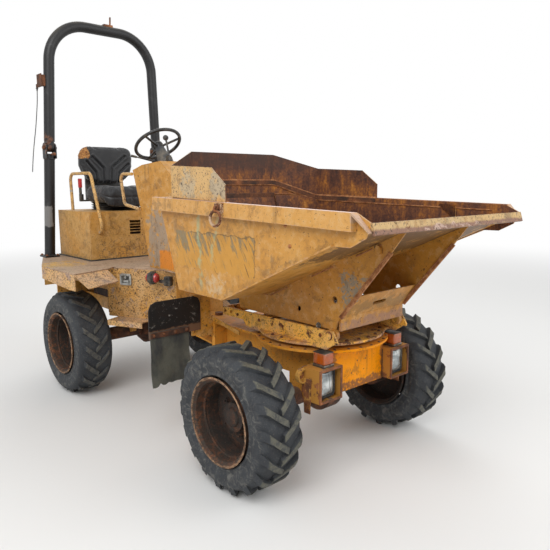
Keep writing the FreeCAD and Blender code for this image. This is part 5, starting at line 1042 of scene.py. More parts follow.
def half_at(x):
    return 0.591 + 0.02324 * (x - 0.207)


def floor_at(x):
    return 0.980 + 0.44523 * max(0.0, x - 0.870)


def rim_at(x):
    return 1.519 - 0.0245 * (x - 0.207)


def skip_welds(side):
    """Beads inside the load space."""
    bm = bmesh.new()

    def wall(x, z, inset=0.010):
        return Vector((x, side * (half_at(x) - inset), z))

    weld(bm, [wall(back_at(z) + 0.012, z) for z in (1.46, 1.30, 1.14, 0.995)], 0.0060)
    weld(bm, [wall(x, floor_at(x) + 0.010) for x in (0.44, 0.87, 1.20, 1.60)], 0.0060)
    weld(bm, [(back_at(0.992) + 0.010, side * y, 0.992) for y in (0.02, 0.30, 0.585)], 0.0060)
    weld(bm, [(0.870, side * y, 0.990) for y in (0.02, 0.30, 0.585)], 0.0045)
    weld(bm, [wall(x, rim_at(x) - 0.036, 0.009) for x in (0.42, 0.92, 1.30, 1.72)], 0.0048)
    return piece("skip_welds_inside_" + ("right" if side < 0 else "left"), bm, bead_rust, "skip", ())


def corner_plate(side):
    """The plate that cuts off the load space's rear corner below the guard's cut corner."""
    bm = bmesh.new()
    made = bmesh.ops.create_grid(bm, x_segments=1, y_segments=1, size=0.5)["verts"]
    corners = {(-1, 1): (0.2330, 0.335, 1.517), (1, 1): (0.3960, 0.590, 1.514), (1, -1): (0.4290, 0.577, 1.000),
               (-1, -1): (0.4230, 0.335, 1.000)}
    for vert in made:
        x, y, z = corners[(1 if vert.co.x > 0 else -1, 1 if vert.co.y > 0 else -1)]
        vert.co = (x, side * y, z)
    bmesh.ops.solidify(bm, geom=list(bm.faces), thickness=0.004)
    top_in, top_out, low_out, low_in = (Vector((corners[key][0] + 0.004, side * corners[key][1], corners[key][2]))
                                        for key in ((-1, 1), (1, 1), (1, -1), (-1, -1)))
    weld(bm, [top_in, low_in], 0.0055)
    weld(bm, [top_out, low_out], 0.0055)
    name = "corner_plate_" + ("right" if side < 0 else "left")
    return piece(name, bm, skip_paint, "skip", ())


def crease_strips():
    """The folded flange between two lines of weld that runs round the back of the load space."""
    strip = bmesh.new()
    beads = bmesh.new()
    for side in (-1, 1):
        runs = [Vector((0.2235, 0.0, 1.6035)), Vector((0.2235, side * 0.338, 1.6035)),
                Vector((0.3980, side * (half_at(0.4) - 0.0100), 1.4975)),
                Vector((0.9200, side * (half_at(0.92) - 0.0100), 1.4850))]
        for start, end in zip(runs, runs[1:]):
            along = (end - start).normalized()
            inwards = along.cross(Vector((0, 0, -side))).normalized()
            up = along.cross(inwards) * side
            place = Matrix((along, inwards, up)).transposed().to_4x4()
            place.translation = (start + end) / 2
            half = (end - start).length / 2
            block(strip, (-half, -0.004, -0.0145), (half, 0.002, 0.0145), 0.0015, 1, place)
            for edge in (-0.0155, 0.0155):
                weld(beads, [start + up * edge + inwards * 0.001, end + up * edge + inwards * 0.001], 0.0062)
    block(strip, (0.2245, -0.336, 1.498), (0.2295, 0.336, 1.532), 0.001, 1)
    piece("crease_welds", beads, bead_rust, "skip", ())
    return piece("crease_flange", strip, rusty, "skip", ())


def lip_gusset(side):
    """The small triangular plate beside the pouring lip."""
    bm = bmesh.new()
    made = bmesh.ops.create_circle(bm, cap_ends=True, segments=3, radius=1.0)["verts"]
    for vert, place in zip(made, ((1.395, 1.474), (1.500, 1.470), (1.500, 1.395))):
        vert.co = (place[0], side * (half_at(place[0]) - 0.020), place[1])
    bmesh.ops.solidify(bm, geom=list(bm.faces), thickness=0.006)
    weld(bm, [(1.500, side * (half_at(1.5) - 0.014), 1.46), (1.500, side * (half_at(1.5) - 0.014), 1.40)], 0.004)
    name = "lip_gusset_" + ("right" if side < 0 else "left")
    return piece(name, bm, skip_paint, "skip", ())


def guard_welds():
    """The line of weld round the foot of the guard, seen from inside, and the bolt heads on the side walls."""
    bm = bmesh.new()
    for side in (-1, 1):
        weld(bm, [(0.2300, side * 0.342, 1.5225), (0.3960, side * 0.590, 1.518)], 0.0045)
        weld(bm, [(x, side * (half_at(x) - 0.002), rim_at(x) + 0.003) for x in (0.40, 0.66, 0.918)], 0.0040)
        for x, z in ((1.397, 1.313), (1.367, 1.406)):
            bolt(bm, (x, side * (half_at(x) + 0.0005), z), (0, side, 0), 0.013, 0.006)
    return piece("guard_welds", bm, bead_rust, "skip", ())


def under_frame_fittings():
    """Rusty bars along the front edges of the hinge plates, their welds, and the plug with its white ring."""
    bm = bmesh.new()
    for side in (-1, 1):
        start = Vector((1.398, side * 0.266, 0.922))
        end = Vector((1.700, side * 0.266, 1.281))
        along = (end - start).normalized()
        out = Vector((along.z, 0, -along.x))
        place = Matrix.Translation((start + end) / 2 + out * 0.001) @ turned_to(along)
        length = (end - start).length
        block(bm, (-0.006, -0.011, -length / 2), (0.006, 0.011, length / 2), 0.002, place=place)
        for part in (-1, 1):
            face = Vector((0, part * 0.0115, 0))
            weld(bm, [start + face - out * 0.004, end + face - out * 0.004], 0.0030)
    welds = piece("hinge_plate_edges", bm, bead_rust, "skip", ())
    bm = bmesh.new()
    for side in (-1, 1):
        for x in (0.70, 0.87, 1.20, 1.50):
            last = min(x + 0.15, 1.66)
            weld(bm, [(x, side * 0.2745, floor_at(x) - 0.014), (last, side * 0.2745, floor_at(last) - 0.014)], 0.0040)
    piece("under_frame_welds", bm, bead_rust, "skip", ())
    bm = bmesh.new()
    for side in (-1, 1):
        rod(bm, (1.250, side * 0.268, 0.858), (1.250, side * 0.2735, 0.858), 0.016)
        ring_round(bm, (1.250, side * 0.2735, 0.858), (0, 1, 0), 0.0135, 0.0028, 24)
        rod(bm, (1.250, side * 0.268, 0.858), (1.250, side * 0.2760, 0.858), 0.0075, 0.0065, 16)
    piece("hinge_plate_plugs", bm, zinc, "skip", ())
    return welds


for side in (-1, 1):
    lifting_ring(side)
    skip_welds(side)
    corner_plate(side)
    lip_gusset(side)
guard_welds()
crease_strips()
under_frame_fittings()


# Lamps
HEADLAMP_Y = 0.2945


def headlamps():
    """Round-cornered lamp units: black shell, bezel, domed fluted lens and the gap inside."""
    shell = bmesh.new()
    glass = bmesh.new()
    for side in (-1, 1):
        shift = 0.002 * side
        middle = Vector((0, side * HEADLAMP_Y + shift, 0.566))
        block(shell, middle + Vector((1.300, -0.060, -0.074)), middle + Vector((1.330, 0.060, 0.074)), 0.012, 3)
        made = bmesh.ops.create_cube(shell, size=1.0, matrix=Matrix.Translation(middle + Vector((1.331, 0, 0)))
                                     @ Matrix.Diagonal((0.014, 0.119, 0.147, 1.0)))["verts"]
        corners = [edge for edge in {e for v in made for e in v.link_edges}
                   if abs(edge.verts[0].co.x - edge.verts[1].co.x) > 0.01]
        soften(shell, corners, 0.022, 6)
        front = max((face for face in shell.faces if face.normal.x > 0.9), key=lambda f: f.calc_center_median().x
                    + (1.0 if abs(f.calc_center_median().y - middle.y) < 0.02 else 0.0))
        bmesh.ops.inset_region(shell, faces=[front], thickness=0.007, depth=0.0)
        bmesh.ops.inset_region(shell, faces=[front], thickness=0.003, depth=-0.007)
        grid = bmesh.ops.create_grid(glass, x_segments=24, y_segments=30, size=0.5)["verts"]
        width = 0.049
        tall = 0.0625
        for vert in grid:
            u = vert.co.x * 2
            v = vert.co.y * 2
            power = 5.0
            norm = max(1e-6, (abs(u) ** power + abs(v) ** power) ** (1 / power))
            reach = max(abs(u), abs(v))
            u, v = u * reach / norm, v * reach / norm
            crown = (1 - u * u) * (1 - v * v)
            vert.co = middle + Vector((1.3325 + 0.0150 * max(0.0, crown) ** 0.6, u * width, v * tall))
    piece("headlamp_shells", shell, dull_rubber, "front_chassis", ())
    return piece("headlamp_lenses", glass, lamp_glass, "front_chassis", ("headlamps",), 40.0)


def indicators():
    """Ribbed amber lenses with black ends over a bright strip."""
    lenses = bmesh.new()
    ends = bmesh.new()
    strip = bmesh.new()
    for side in (-1, 1):
        y = side * HEADLAMP_Y
        made = bmesh.ops.create_cube(lenses, size=1.0, matrix=Matrix.Translation((1.308, y, 0.700))
                                     @ Matrix.Diagonal((0.082, 0.072, 0.062, 1.0)))["verts"]
        upright = [edge for edge in {e for v in made for e in v.link_edges}]
        soften(lenses, upright, 0.008, 3)
        for number in range(9):
            z = 0.6770 + number * 0.0058
            block(lenses, (1.3480, y - 0.029, z - 0.0014), (1.3502, y + 0.029, z + 0.0014), 0.0006, 1)
            for part in (-1, 1):
                block(lenses, (1.274, y + part * 0.0355 - 0.0012, z - 0.0014),
                      (1.342, y + part * 0.0355 + 0.0012, z + 0.0014), 0.0006, 1)
        block(ends, (1.266, y - 0.036, 0.7290), (1.3485, y + 0.036, 0.7335), 0.0018)
        block(ends, (1.265, y - 0.038, 0.6550), (1.3490, y + 0.038, 0.6620), 0.002)
        block(strip, (1.266, y - 0.0375, 0.6620), (1.3505, y + 0.0375, 0.6700), 0.0015)
        rod(ends, (1.308, y, 0.640), (1.308, y, 0.657), 0.009)
    piece("indicator_ends", ends, dull_rubber, "front_chassis", ())
    piece("indicator_strips", strip, zinc, "front_chassis", ())
    return piece("indicator_lenses", lenses, amber_lens, "front_chassis", ("front_indicators",))


def panel_frame(side):
    """The sloping side panel's frame: x along the machine at its foot, turned by the panel's slope."""
    turn = Matrix.Rotation(math.radians(-25.6), 4, "Z")
    flip = Matrix.Diagonal((1, side, 1, 1))

    def place_at(x):
        y = 0.207 + 0.259 * (-0.240 - x) / 0.540
        return flip @ Matrix.Translation((x, y, 0)) @ turn

    return place_at


def moved_copy(bm, place, make):
    """Makes something in its own frame and then moves it."""
    known = set(bm.verts)
    make(bm)
    bmesh.ops.transform(bm, matrix=place, verts=[vert for vert in bm.verts if vert not in known])


def marker_lamps():
    """Double-faced red markers on the side panels: rubber arm and ring, ribbed red domes."""
    black = bmesh.new()
    red = bmesh.new()

    def rubber_parts(bm):
        lathe(bm, [(0.0, -0.009), (0.028, -0.0105), (0.0325, -0.008), (0.034, 0.0), (0.0325, 0.008), (0.028, 0.0105),
                   (0.0, 0.009)], (0, 0.046, 0.921), (1, 0, 0), 40)
        for part in (-1, 1):
            lathe(bm, [(0.0275, part * 0.008), (0.0282, part * 0.014), (0.0265, part * 0.018),
                       (0.0230, part * 0.0185)], (0, 0.046, 0.921), (1, 0, 0), 36)
        block(bm, (0.022, 0.016, 0.894), (0.074, 0.030, 0.909), 0.005, 3)
        block(bm, (0.050, 0.001, 0.879), (0.088, 0.030, 0.927), 0.006, 3)
        for z in (0.888, 0.918):
            bolt(bm, (0.069, 0.030, z), (0, 1, 0), 0.008, 0.004)

    def red_parts(bm):
        for part in (-1, 1):
            lathe(bm, [(0.0245, part * 0.015), (0.0240, part * 0.021), (0.0205, part * 0.0285),
                       (0.0130, part * 0.0325), (0.0, part * 0.0340)], (0, 0.046, 0.921), (1, 0, 0), 36)

    for side in (-1, 1):
        middle = Matrix.Translation((0, 0, 0.903))
        place = panel_frame(side)(-0.372) @ middle @ Matrix.Scale(1.45, 4) @ middle.inverted()
        moved_copy(black, place, rubber_parts)
        moved_copy(red, place, red_parts)
    piece("marker_lamp_bodies", black, dull_rubber, "rear_chassis", ())
    return piece("marker_lamp_lenses", red, red_lens, "rear_chassis", ("marker_lamps",))


def latches():
    """Recessed paddle latches: a pale dished plate with its pocket, its paddle, screws and the lock barrel; thin dark
    sheets on the pocket's floor and in the key slot are painted shade.
    """
    plate = bmesh.new()
    dark = bmesh.new()

    def plate_parts(bm):
        made = bmesh.ops.create_cube(bm, size=1.0, matrix=Matrix.Translation((0, 0.006, 0.891))
                                     @ Matrix.Diagonal((0.100, 0.012, 0.086, 1.0)))["verts"]
        edges = list({e for v in made for e in v.link_edges})
        soften(bm, [e for e in edges if abs(e.verts[0].co.y - e.verts[1].co.y) > 0.01], 0.012, 4)
        face = max(bm.faces, key=lambda f: (round(f.calc_center_median().y, 4), f.calc_area()))
        bmesh.ops.inset_region(bm, faces=[face], thickness=0.004, depth=0.0015)
        bmesh.ops.inset_region(bm, faces=[face], thickness=0.012, depth=0.0)
        bmesh.ops.inset_region(bm, faces=[face], thickness=0.002, depth=-0.009)
        block(bm, (-0.020, 0.004, 0.868), (0.026, 0.0115, 0.888), 0.003, 3)
        rod(bm, (0.0, 0.006, 0.908), (0.0, 0.0125, 0.908), 0.0095)
        for x in (-0.043, 0.043):
            for z in (0.856, 0.926):
                rod(bm, (x, 0.010, z), (x, 0.0145, z), 0.0036, 0.003, 12)

    # Painted shade: thin dark sheets on the pocket's floor and across the lock barrel's key slot.
    def pocket_shade_parts(bm):
        block(bm, (-0.030, 0.0030, 0.866), (0.030, 0.0048, 0.916), 0.0008, 1)
        block(bm, (-0.0015, 0.0115, 0.905), (0.0015, 0.0130, 0.911), 0.0004, 1)

    for side in (-1, 1):
        place = panel_frame(side)(-0.625)
        moved_copy(plate, place, plate_parts)
        moved_copy(dark, place, pocket_shade_parts)
    piece("latch_pocket_shade", dark, dull_rubber, "rear_chassis", ())
    return piece("latch_plates", plate, latch_grey, "rear_chassis", ("latches",))


headlamps()
indicators()
marker_lamps()
latches()


# Seat
def puff(piece_made, pressure=4.0, cap=0.024, voxel=0.006, frames=20):
    mesh = piece_made.data.copy()
    soft = bpy.data.objects.new("soft_form", mesh)
    scene.collection.objects.link(soft)
    remesh = soft.modifiers.new("even", "REMESH")
    remesh.mode = "VOXEL"
    remesh.voxel_size = voxel
    bpy.context.view_layer.update()
    graph = bpy.context.evaluated_depsgraph_get()
    even = bpy.data.meshes.new_from_object(soft.evaluated_get(graph))
    soft.modifiers.clear()
    soft.data = even
    before = [vert.co.copy() for vert in even.vertices]
    cloth = soft.modifiers.new("swell", "CLOTH")
    cloth.settings.quality = 5
    cloth.settings.use_pressure = True
    cloth.settings.uniform_pressure_force = pressure
    cloth.settings.effector_weights.gravity = 0.0
    cloth.settings.tension_stiffness = 15.0
    cloth.settings.compression_stiffness = 15.0
    cloth.point_cache.frame_start = 1
    cloth.point_cache.frame_end = frames
    for number in range(1, frames + 1):
        scene.frame_set(number)
    graph = bpy.context.evaluated_depsgraph_get()
    swollen = bpy.data.meshes.new_from_object(soft.evaluated_get(graph))
    for vert, start in zip(swollen.vertices, before):
        move = vert.co - start
        if move.length > cap:
            vert.co = start + move.normalized() * cap
    scene.frame_set(1)
    bpy.data.objects.remove(soft)
    bm = bmesh.new()
    bm.from_mesh(swollen)
    for turn in range(3):
        bmesh.ops.smooth_vert(bm, verts=bm.verts, factor=0.5, use_axis_x=True, use_axis_y=True, use_axis_z=True)
    bm.to_mesh(piece_made.data)
    bm.free()
    piece_made.data.shade_smooth()


def refine(piece_made, cuts=1):
    bm = bmesh.new()
    bm.from_mesh(piece_made.data)
    bmesh.ops.subdivide_edges(bm, edges=bm.edges, cuts=cuts, use_grid_fill=True, smooth=0.0)
    bm.to_mesh(piece_made.data)
    bm.free()
    piece_made.data.shade_smooth()


def gap_to_line(place, line):
    """Distance in the Y-Z plane from a point to a run of straight pieces."""
    best = 1.0
    for (y0, z0), (y1, z1) in zip(line, line[1:]):
        along = Vector((y1 - y0, z1 - z0))
        from_start = Vector((place[0] - y0, place[1] - z0))
        share = max(0.0, min(1.0, from_start.dot(along) / along.length_squared))
        best = min(best, (from_start - along * share).length)
    return best


SEAT_Y = -0.030
CHANNELS = (((-0.200, 1.790), (-0.115, 1.700), (-0.100, 1.615)), ((-0.140, 1.830), (-0.040, 1.735), (-0.035, 1.615)),
            ((0.160, 1.840), (0.045, 1.745), (0.035, 1.615)), ((0.190, 1.770), (0.115, 1.700), (0.100, 1.615)))


def seat_back():
    """The back cushion: a shield whose front is crowned and channelled, with one torn top corner."""
    bm = bmesh.new()
    made = bmesh.ops.create_circle(bm, cap_ends=True, segments=64, radius=1.0)["verts"]
    for vert in made:
        u, v = vert.co.x, vert.co.y
        norm = (abs(u) ** 4.2 + abs(v) ** 4.2) ** (1 / 4.2)
        u, v = u / norm, v / norm
        taper = 0.256 - 0.085 * max(0.0, -v) ** 1.5
        vert.co = Vector((-1.648, SEAT_Y + u * taper, 1.762 + v * 0.178))
    grown = bmesh.ops.extrude_face_region(bm, geom=list(bm.faces))["geom"]
    bmesh.ops.translate(bm, vec=(0.060, 0, 0), verts=[item for item in grown if isinstance(item, bmesh.types.BMVert)])
    back = piece("seat_back_cover", bm, back_vinyl, "engine_cover", ("seat_back",), 60.0)
    puff(back, 4.0, 0.020)
    refine(back)
    bm = bmesh.new()
    bm.from_mesh(back.data)
    for vert in bm.verts:
        y = vert.co.y - SEAT_Y
        z = vert.co.z
        front = max(0.0, min(1.0, (vert.co.x + 1.622) / 0.02))
        dip = 0.0
        for line in CHANNELS:
            gap = gap_to_line((y, z), line)
            dip += 0.013 * math.exp(-(gap / 0.0085) ** 2) - 0.004 * math.exp(-((gap - 0.020) / 0.010) ** 2)
        hollow = 0.014 * math.exp(-(y / 0.13) ** 2) * math.exp(-((z - 1.70) / 0.15) ** 2)
        bolster = 0.012 * math.exp(-((abs(y) - 0.205) / 0.035) ** 2)
        vert.co.x += front * (bolster - dip - hollow)
        edge = math.hypot(max(0.0, y + 0.165) if y > -0.165 else 0.0, max(0.0, 1.835 - z))
        if edge < 0.02 and y < -0.13 and z > 1.80:
            crumble = noise.noise(vert.co * 60.0) * 0.006 + noise.noise(vert.co * 160.0) * 0.003
            vert.co += Vector((-0.006 * front + crumble, crumble * 0.6, -0.004 + crumble))
    bm.to_mesh(back.data)
    bm.free()
    return back


def seat_cushion():
    """The seat cushion with its rolled front, side bolsters and the seam below the front edge."""
    bm = bmesh.new()
    made = bmesh.ops.create_circle(bm, cap_ends=True, segments=64, radius=1.0)["verts"]
    for vert in made:
        u, v = vert.co.x, vert.co.y
        norm = (abs(u) ** 5.0 + abs(v) ** 5.0) ** (1 / 5.0)
        vert.co = Vector((-1.3600 + u / norm * 0.232, SEAT_Y + v / norm * 0.250, 1.464))
    grown = bmesh.ops.extrude_face_region(bm, geom=list(bm.faces))["geom"]
    tops = [item for item in grown if isinstance(item, bmesh.types.BMVert)]
    bmesh.ops.translate(bm, vec=(0, 0, 0.092), verts=tops)
    cushion = piece("seat_cushion_cover", bm, seat_vinyl, "engine_cover", ("seat_cushion",), 60.0)
    puff(cushion, 4.0, 0.022)
    refine(cushion)
    bm = bmesh.new()
    bm.from_mesh(cushion.data)
    for vert in bm.verts:
        x = vert.co.x + 1.365
        y = vert.co.y - SEAT_Y
        height = max(0.0, min(1.0, (vert.co.z - 1.470) / 0.08))
        bolster = 0.010 * math.exp(-((abs(y) - 0.205) / 0.035) ** 2)
        groove = 0.011 * math.exp(-((abs(y) - 0.150) / 0.008) ** 2) if x < 0.16 else 0.0
        groove += 0.010 * math.exp(-((x - 0.168) / 0.008) ** 2) if abs(y) < 0.150 else 0.0
        hollow = 0.012 * math.exp(-(y / 0.12) ** 2) * math.exp(-((x + 0.03) / 0.12) ** 2)
        vert.co.z += height * (bolster - groove - hollow)
        seam = math.exp(-((vert.co.z - 1.512) / 0.0045) ** 2)
        if x > 0.19 or abs(y) > 0.21:
            vert.co -= Vector((x, y * 0.9, 0)).normalized() * 0.006 * seam
        nose = max(0.0, min(1.0, (x - 0.14) / 0.09))
        vert.co.z -= 0.062 * nose * (1.0 - height) ** 1.2
    bm.to_mesh(cushion.data)
    bm.free()
    return cushion


def seat_bellows():
    """The suspension's rubber gaiter: a rounded square drawn up in ribs."""
    bm = bmesh.new()
    rings = []
    levels = 41
    for number in range(levels):
        share = number / (levels - 1)
        fold = math.cos(share * 5 * 2 * math.pi)
        reach = 0.0085 * fold - 0.004
        made = bmesh.ops.create_circle(bm, cap_ends=False, segments=72, radius=1.0)["verts"]
        for vert in made:
            u, v = vert.co.x, vert.co.y
            norm = (abs(u) ** 4.5 + abs(v) ** 4.5) ** (1 / 4.5)
            vert.co = Vector((-1.445 + u / norm * (0.146 + reach), SEAT_Y + v / norm * (0.190 + reach),
                              1.3775 + share * 0.0735))
        rings.append(list({edge for vert in made for edge in vert.link_edges}))
    for low, high in zip(rings, rings[1:]):
        bmesh.ops.bridge_loops(bm, edges=low + high)
    return piece("seat_gaiter", bm, dull_rubber, "engine_cover", ("seat_bellows",), 75.0)


def seat_fittings():
    """The belt's buckle on its stalk, the back's moulded shell with its screws, and the seat's slide."""
    red = bmesh.new()
    block(red, (-1.580, -0.313, 1.566), (-1.548, -0.286, 1.642), 0.007, 3)
    block(red, (-1.5755, -0.3145, 1.622), (-1.5525, -0.2845, 1.6445), 0.004, 2)
    piece("belt_buckle_body", red, red_plastic, "engine_cover", ("belt_buckle",))
    dark = bmesh.new()
    for low, high in (((-1.577, -0.309, 1.500), (-1.551, -0.290, 1.572)), ((-1.580, -0.309, 1.449),
                                                                          (-1.548, -0.278, 1.512)),
                      ((-1.582, -0.300, 1.449), (-1.546, -0.150, 1.463))):
        block(dark, low, high, 0.004, 2)
    block(dark, (-1.700, -0.190, 1.600), (-1.686, 0.130, 1.860), 0.006, 2)
    for y in (-0.150, 0.090):
        for z in (1.640, 1.820):
            bolt(dark, (-1.700, y, z), (-1, 0, 0), 0.014, 0.006)
    for side in (-1, 1):
        block(dark, (-1.590, SEAT_Y + side * 0.150 - 0.012, 1.4455), (-1.300, SEAT_Y + side * 0.150 + 0.012, 1.4660),
              0.003)
    return piece("seat_fittings", dark, black_plastic, "engine_cover", ())


seat_back()
seat_cushion()
seat_bellows()
seat_fittings()


# Flaps, cover seal, roll bar and deck fittings
def mud_flaps():
    """Hanging rubber sheets, creased and torn along their lower edges."""
    bm = bmesh.new()
    for side in (-1, 1):
        made = bmesh.ops.create_grid(bm, x_segments=36, y_segments=44, size=0.5)["verts"]
        for vert in made:
            u = vert.co.x
            v = vert.co.y + 0.5
            y = 0.6275 + u * (0.275 - 0.010 * v)
            z = 0.730 - 0.330 * (1.0 - v)
            low = 1.0 - v
            bend = 0.010 * math.sin(u * 5.0 + 0.6 * side) * low + 0.006 * math.sin(v * 9.0 + u * 4.0) * low
            ragged = 0.012 * noise.noise(Vector((y * 30.0, side * 2.0, 0.3))) + 0.020 * math.exp(-((u - 0.3) / 0.04) ** 2)
            z += ragged * max(0.0, 1.0 - v / 0.15)
            vert.co = Vector((0.3545 + max(0.0, bend + 0.004 * low), side * y, z))
    bmesh.ops.recalc_face_normals(bm, faces=bm.faces)
    bmesh.ops.solidify(bm, geom=list(bm.faces), thickness=0.006)
    return piece("mud_flap_sheets", bm, flap_rubber, "front_chassis", ("mud_flaps",), 50.0)


def flap_clamps():
    bm = bmesh.new()
    heads = bmesh.new()
    for side in (-1, 1):
        low = (0.3585, min(side * 0.492, side * 0.763), 0.694)
        high = (0.3625, max(side * 0.492, side * 0.763), 0.728)
        block(bm, low, high, 0.0012, 1)
        for y in (0.515, 0.595, 0.675, 0.742):
            bolt(heads, (0.3625, side * y, 0.711), (1, 0, 0), 0.013, 0.006)
            bolt(heads, (0.3450, side * y, 0.711), (-1, 0, 0), 0.013, 0.006)
    piece("flap_bolts", heads, rust_bolts, "front_chassis", ())
    return piece("flap_clamps", bm, rusty, "front_chassis", ())


def cover_seal():
    """The dark rubber strip in the joint under the engine cover."""
    bm = bmesh.new()
    block(bm, (-1.770, -0.437, 0.9805), (-1.118, -0.4305, 0.9925), 0.002)
    block(bm, (-1.770, 0.4305, 0.9805), (-1.118, 0.437, 0.9925), 0.002)
    block(bm, (-1.1235, -0.4305, 0.9805), (-1.117, 0.4305, 0.9925), 0.002)
    return piece("cover_seal", bm, dull_rubber, "rear_chassis", ())


def cover_fittings():
    """The screws of the cover's grille and the pins of its slam hinges at the back."""
    dark = bmesh.new()
    for side in (-1, 1):
        for y, z in ((-0.092, 1.168), (0.032, 1.168), (-0.092, 1.308), (0.032, 1.308)):
            if side > 0:
                rod(dark, (-1.126, y, z), (-1.1215, y, z), 0.0048, 0.0042, 12)
    for y in (-0.31, 0.31):
        rod(dark, (-1.760, y, 0.9955), (-1.760, y + 0.06, 0.9955), 0.009)
    return piece("cover_fittings", dark, rust_bolts, "engine_cover", ())


def bar_place(z):
    return (-1.682 + (z - 0.981) * 0.02968, 0.551 - (z - 0.981) * 0.04698)


def roll_bar_fittings():
    """Hinge bolts, the spring pins with their knobs, foot bolts and welds of the roll bar."""
    bolts = bmesh.new()
    beads = bmesh.new()
    x, y = bar_place(1.900)
    for side in (-1, 1):
        for part in (-1, 1):
            foot = Vector((x, side * y + part * 0.0445, 1.900))
            bolt(bolts, foot, (0, part, 0), 0.026, 0.012)
        knob = Vector((x + 0.038, side * y, 1.845))
        rod(bolts, knob, knob + Vector((0.040, 0, 0)), 0.0075)
        lathe(bolts, [(0.0, 0.066), (0.009, 0.064), (0.014, 0.056), (0.014, 0.046), (0.009, 0.040), (0.0, 0.039)], knob,
              (1, 0, 0), 20)
        foot_x, foot_y = bar_place(0.995)
        for part_x in (-0.056, 0.052):
            for part_y in (-0.046, 0.046):
                bolt(bolts, (foot_x + part_x, side * foot_y + part_y, 0.995), (0, 0, 1), 0.018, 0.009)
        ring = [Vector((foot_x + 0.046 * math.cos(t), side * foot_y + 0.046 * math.sin(t), 0.9975))
                for t in (number * math.pi / 8 for number in range(17))]
        weld(beads, ring, 0.0042)
        knuckle_x, knuckle_y = bar_place(1.812)
        ring = [Vector((knuckle_x + 0.0445 * math.cos(t), side * knuckle_y + 0.0445 * math.sin(t), 1.806))
                for t in (number * math.pi / 8 for number in range(17))]
        weld(beads, ring, 0.0036)
    piece("roll_bar_bolts", bolts, rust_bolts, "rear_chassis", ())
    return piece("roll_bar_welds", beads, black_paint, "rear_chassis", ())


def column_fittings():
    """The indicator stalk and the levers' gaiter."""
    dark = bmesh.new()
    rod(dark, (-0.785, -0.040, 1.774), (-0.799, -0.185, 1.805), 0.0060, 0.0050, 14)
    rod(dark, (-0.7975, -0.170, 1.8018), (-0.8010, -0.212, 1.8105), 0.0085, 0.0100, 14)
    ribs = []
    for number in range(25):
        share = number / 24
        ribs.append((0.0300 - 0.0135 * share + 0.0026 * math.cos(share * 6 * 2 * math.pi), -0.006 + 0.062 * share))
    lathe(dark, ribs, LEVER_FOOT, LEVER_WAY, 32)
    return piece("column_fittings", dark, dull_rubber, "rear_chassis", ())


def wheel_hub():
    """Hub cap on the steering wheel."""
    dark = bmesh.new()
    way = Vector((-math.sin(math.radians(35)), 0, math.cos(math.radians(35))))
    centre = Vector((-0.760, 0.0, 1.905))
    lathe(dark, [(0.0, 0.016), (0.018, 0.0150), (0.028, 0.0105), (0.0325, 0.004), (0.0335, -0.004), (0.030, -0.008)],
          centre, way, 32)
    return piece("steering_hub_cap", dark, black_plastic, "steering_wheel", ())


LEVER_FOOT = (-0.350, -0.150, 1.740)
LEVER_WAY = (-0.287, 0.0, 0.958)


def turntable_bolts():
    """Ring of bolts on the turntable's plate, hinge pins' keepers and a row of bolts along each side."""
    bm = bmesh.new()
    for number in range(28):
        angle = number * 2 * math.pi / 28 + 0.05
        x = 1.015 + 0.338 * math.cos(angle)
        y = 0.338 * math.sin(angle)
        if 0.262 < abs(y) < 0.326 or x > 1.36:
            continue
        bolt(bm, (x, y, 0.7613), (0, 0, 1), 0.014, 0.006)
    for side in (-1, 1):
        lathe(bm, [(0.0, 0.012), (0.016, 0.011), (0.0225, 0.006), (0.0235, 0.0)], (1.350, side * 0.300, 0.825),
              (0, side, 0), 24)
        bolt(bm, (1.290, side * 0.3005, 0.818), (0, side, 0), 0.013, 0.006)
        for x in (0.60, 0.80, 1.00, 1.20):
            bolt(bm, (x, side * 0.3005, 0.812), (0, side, 0), 0.012, 0.005)
    return piece("turntable_bolts", bm, rust_bolts, "turntable", ())


def frame_bolts():
    """Bolts of the top plate, the front plate's dark holes, and the beads where the brackets meet it."""
    bm = bmesh.new()
    beads = bmesh.new()
    for number in range(30):
        angle = number * 2 * math.pi / 30
        x = 1.015 + 0.372 * math.cos(angle)
        y = 0.372 * math.sin(angle)
        bolt(bm, (x, y, 0.7270), (0, 0, 1), 0.010, 0.0035)
    for y, z in ((-0.048, 0.688), (-0.020, 0.684), (0.008, 0.690), (-0.060, 0.560), (0.060, 0.620), (-0.010, 0.622)):
        rod(bm, (1.297, y, z), (1.3008, y, z), 0.0052, 0.0046, 14)
    for side in (-1, 1):
        weld(beads, [(1.3035, side * 0.2085, 0.478), (1.3035, side * 0.2085, 0.645)], 0.0042)
        weld(beads, [(1.20, side * 0.2085, 0.648), (1.28, side * 0.2085, 0.648)], 0.0036)
    piece("front_welds", beads, rusty, "front_chassis", ())
    return piece("frame_bolts", bm, rust_bolts, "front_chassis", ())


mud_flaps()
flap_clamps()
cover_seal()
cover_fittings()
roll_bar_fittings()
column_fittings()
wheel_hub()
turntable_bolts()
frame_bolts()


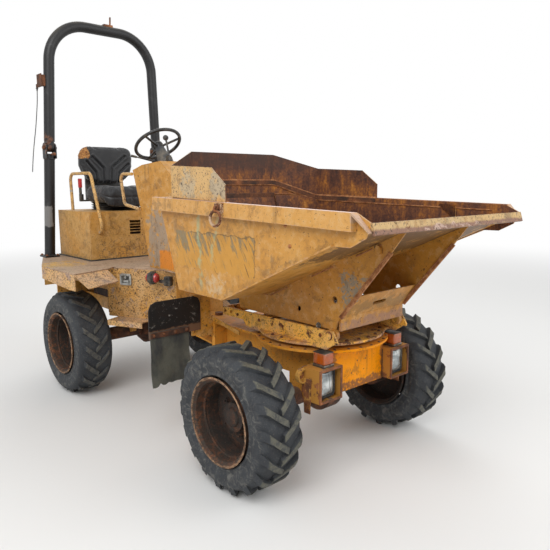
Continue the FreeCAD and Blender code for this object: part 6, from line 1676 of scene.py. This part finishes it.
# Stage
def seen_rays(g):
    """1 for the rays that show the backdrop: to the camera, in reflections and through glass."""
    rays = g.add("ShaderNodeLightPath").outputs
    mirrored = g.math("MAXIMUM", rays["Is Glossy Ray"], rays["Is Transmission Ray"])
    return g.math("MAXIMUM", rays["Is Camera Ray"], mirrored)


def make_stage():
    floor_mesh = bpy.data.meshes.new("floor")
    bm = bmesh.new()
    bmesh.ops.create_grid(bm, x_segments=1, y_segments=1, size=30.0)
    bm.to_mesh(floor_mesh)
    bm.free()
    f = Finish("floor_pale", Roughness=0.9)
    f.shader.inputs["Base Color"].default_value = (0.80, 0.80, 0.79, 1.0)
    far = f.span(f.vector("LENGTH", f.place, out="Value"), 4.5, 13.0)
    white = f.add("ShaderNodeEmission")
    seen = f.math("MULTIPLY", far, seen_rays(f))
    both = f.add("ShaderNodeMixShader", {0: seen, 1: f.shader.outputs[0], 2: white.outputs[0]})
    f.put(f.tree.nodes["Material Output"].inputs["Surface"], both.outputs[0])
    floor_mesh.materials.append(f.material)
    floor = bpy.data.objects.new("floor", floor_mesh)
    scene.collection.objects.link(floor)
    for name, place, power, size in (("key", (3.5, -5.5, 6.5), KEY_POWER, 5.0), ("fill", (6.0, 3.5, 4.5), FILL_POWER, 5.0),
                                     ("back", (-5.5, 4.0, 6.0), BACK_POWER, 5.0)):
        data = bpy.data.lights.new(name, "AREA")
        data.energy = power
        data.size = size
        light = bpy.data.objects.new(name, data)
        scene.collection.objects.link(light)
        light.matrix_world = Matrix.Translation(place) @ turned_to(Vector(place) - Vector((0, 0, 0.8)))
    world = bpy.data.worlds.new("studio")
    scene.world = world
    world.use_nodes = True
    g = Graph(world.node_tree)
    backdrop = world.node_tree.nodes["Background"]
    g.put(backdrop.inputs["Strength"], g.blend(seen_rays(g), WORLD_LEVEL, 1.0))
    backdrop.inputs["Color"].default_value = (1.0, 1.0, 1.0, 1.0)
    scene.view_settings.view_transform = "Standard"


KEY_POWER = 400.0
FILL_POWER = 150.0
BACK_POWER = 170.0
WORLD_LEVEL = 0.62
make_stage()
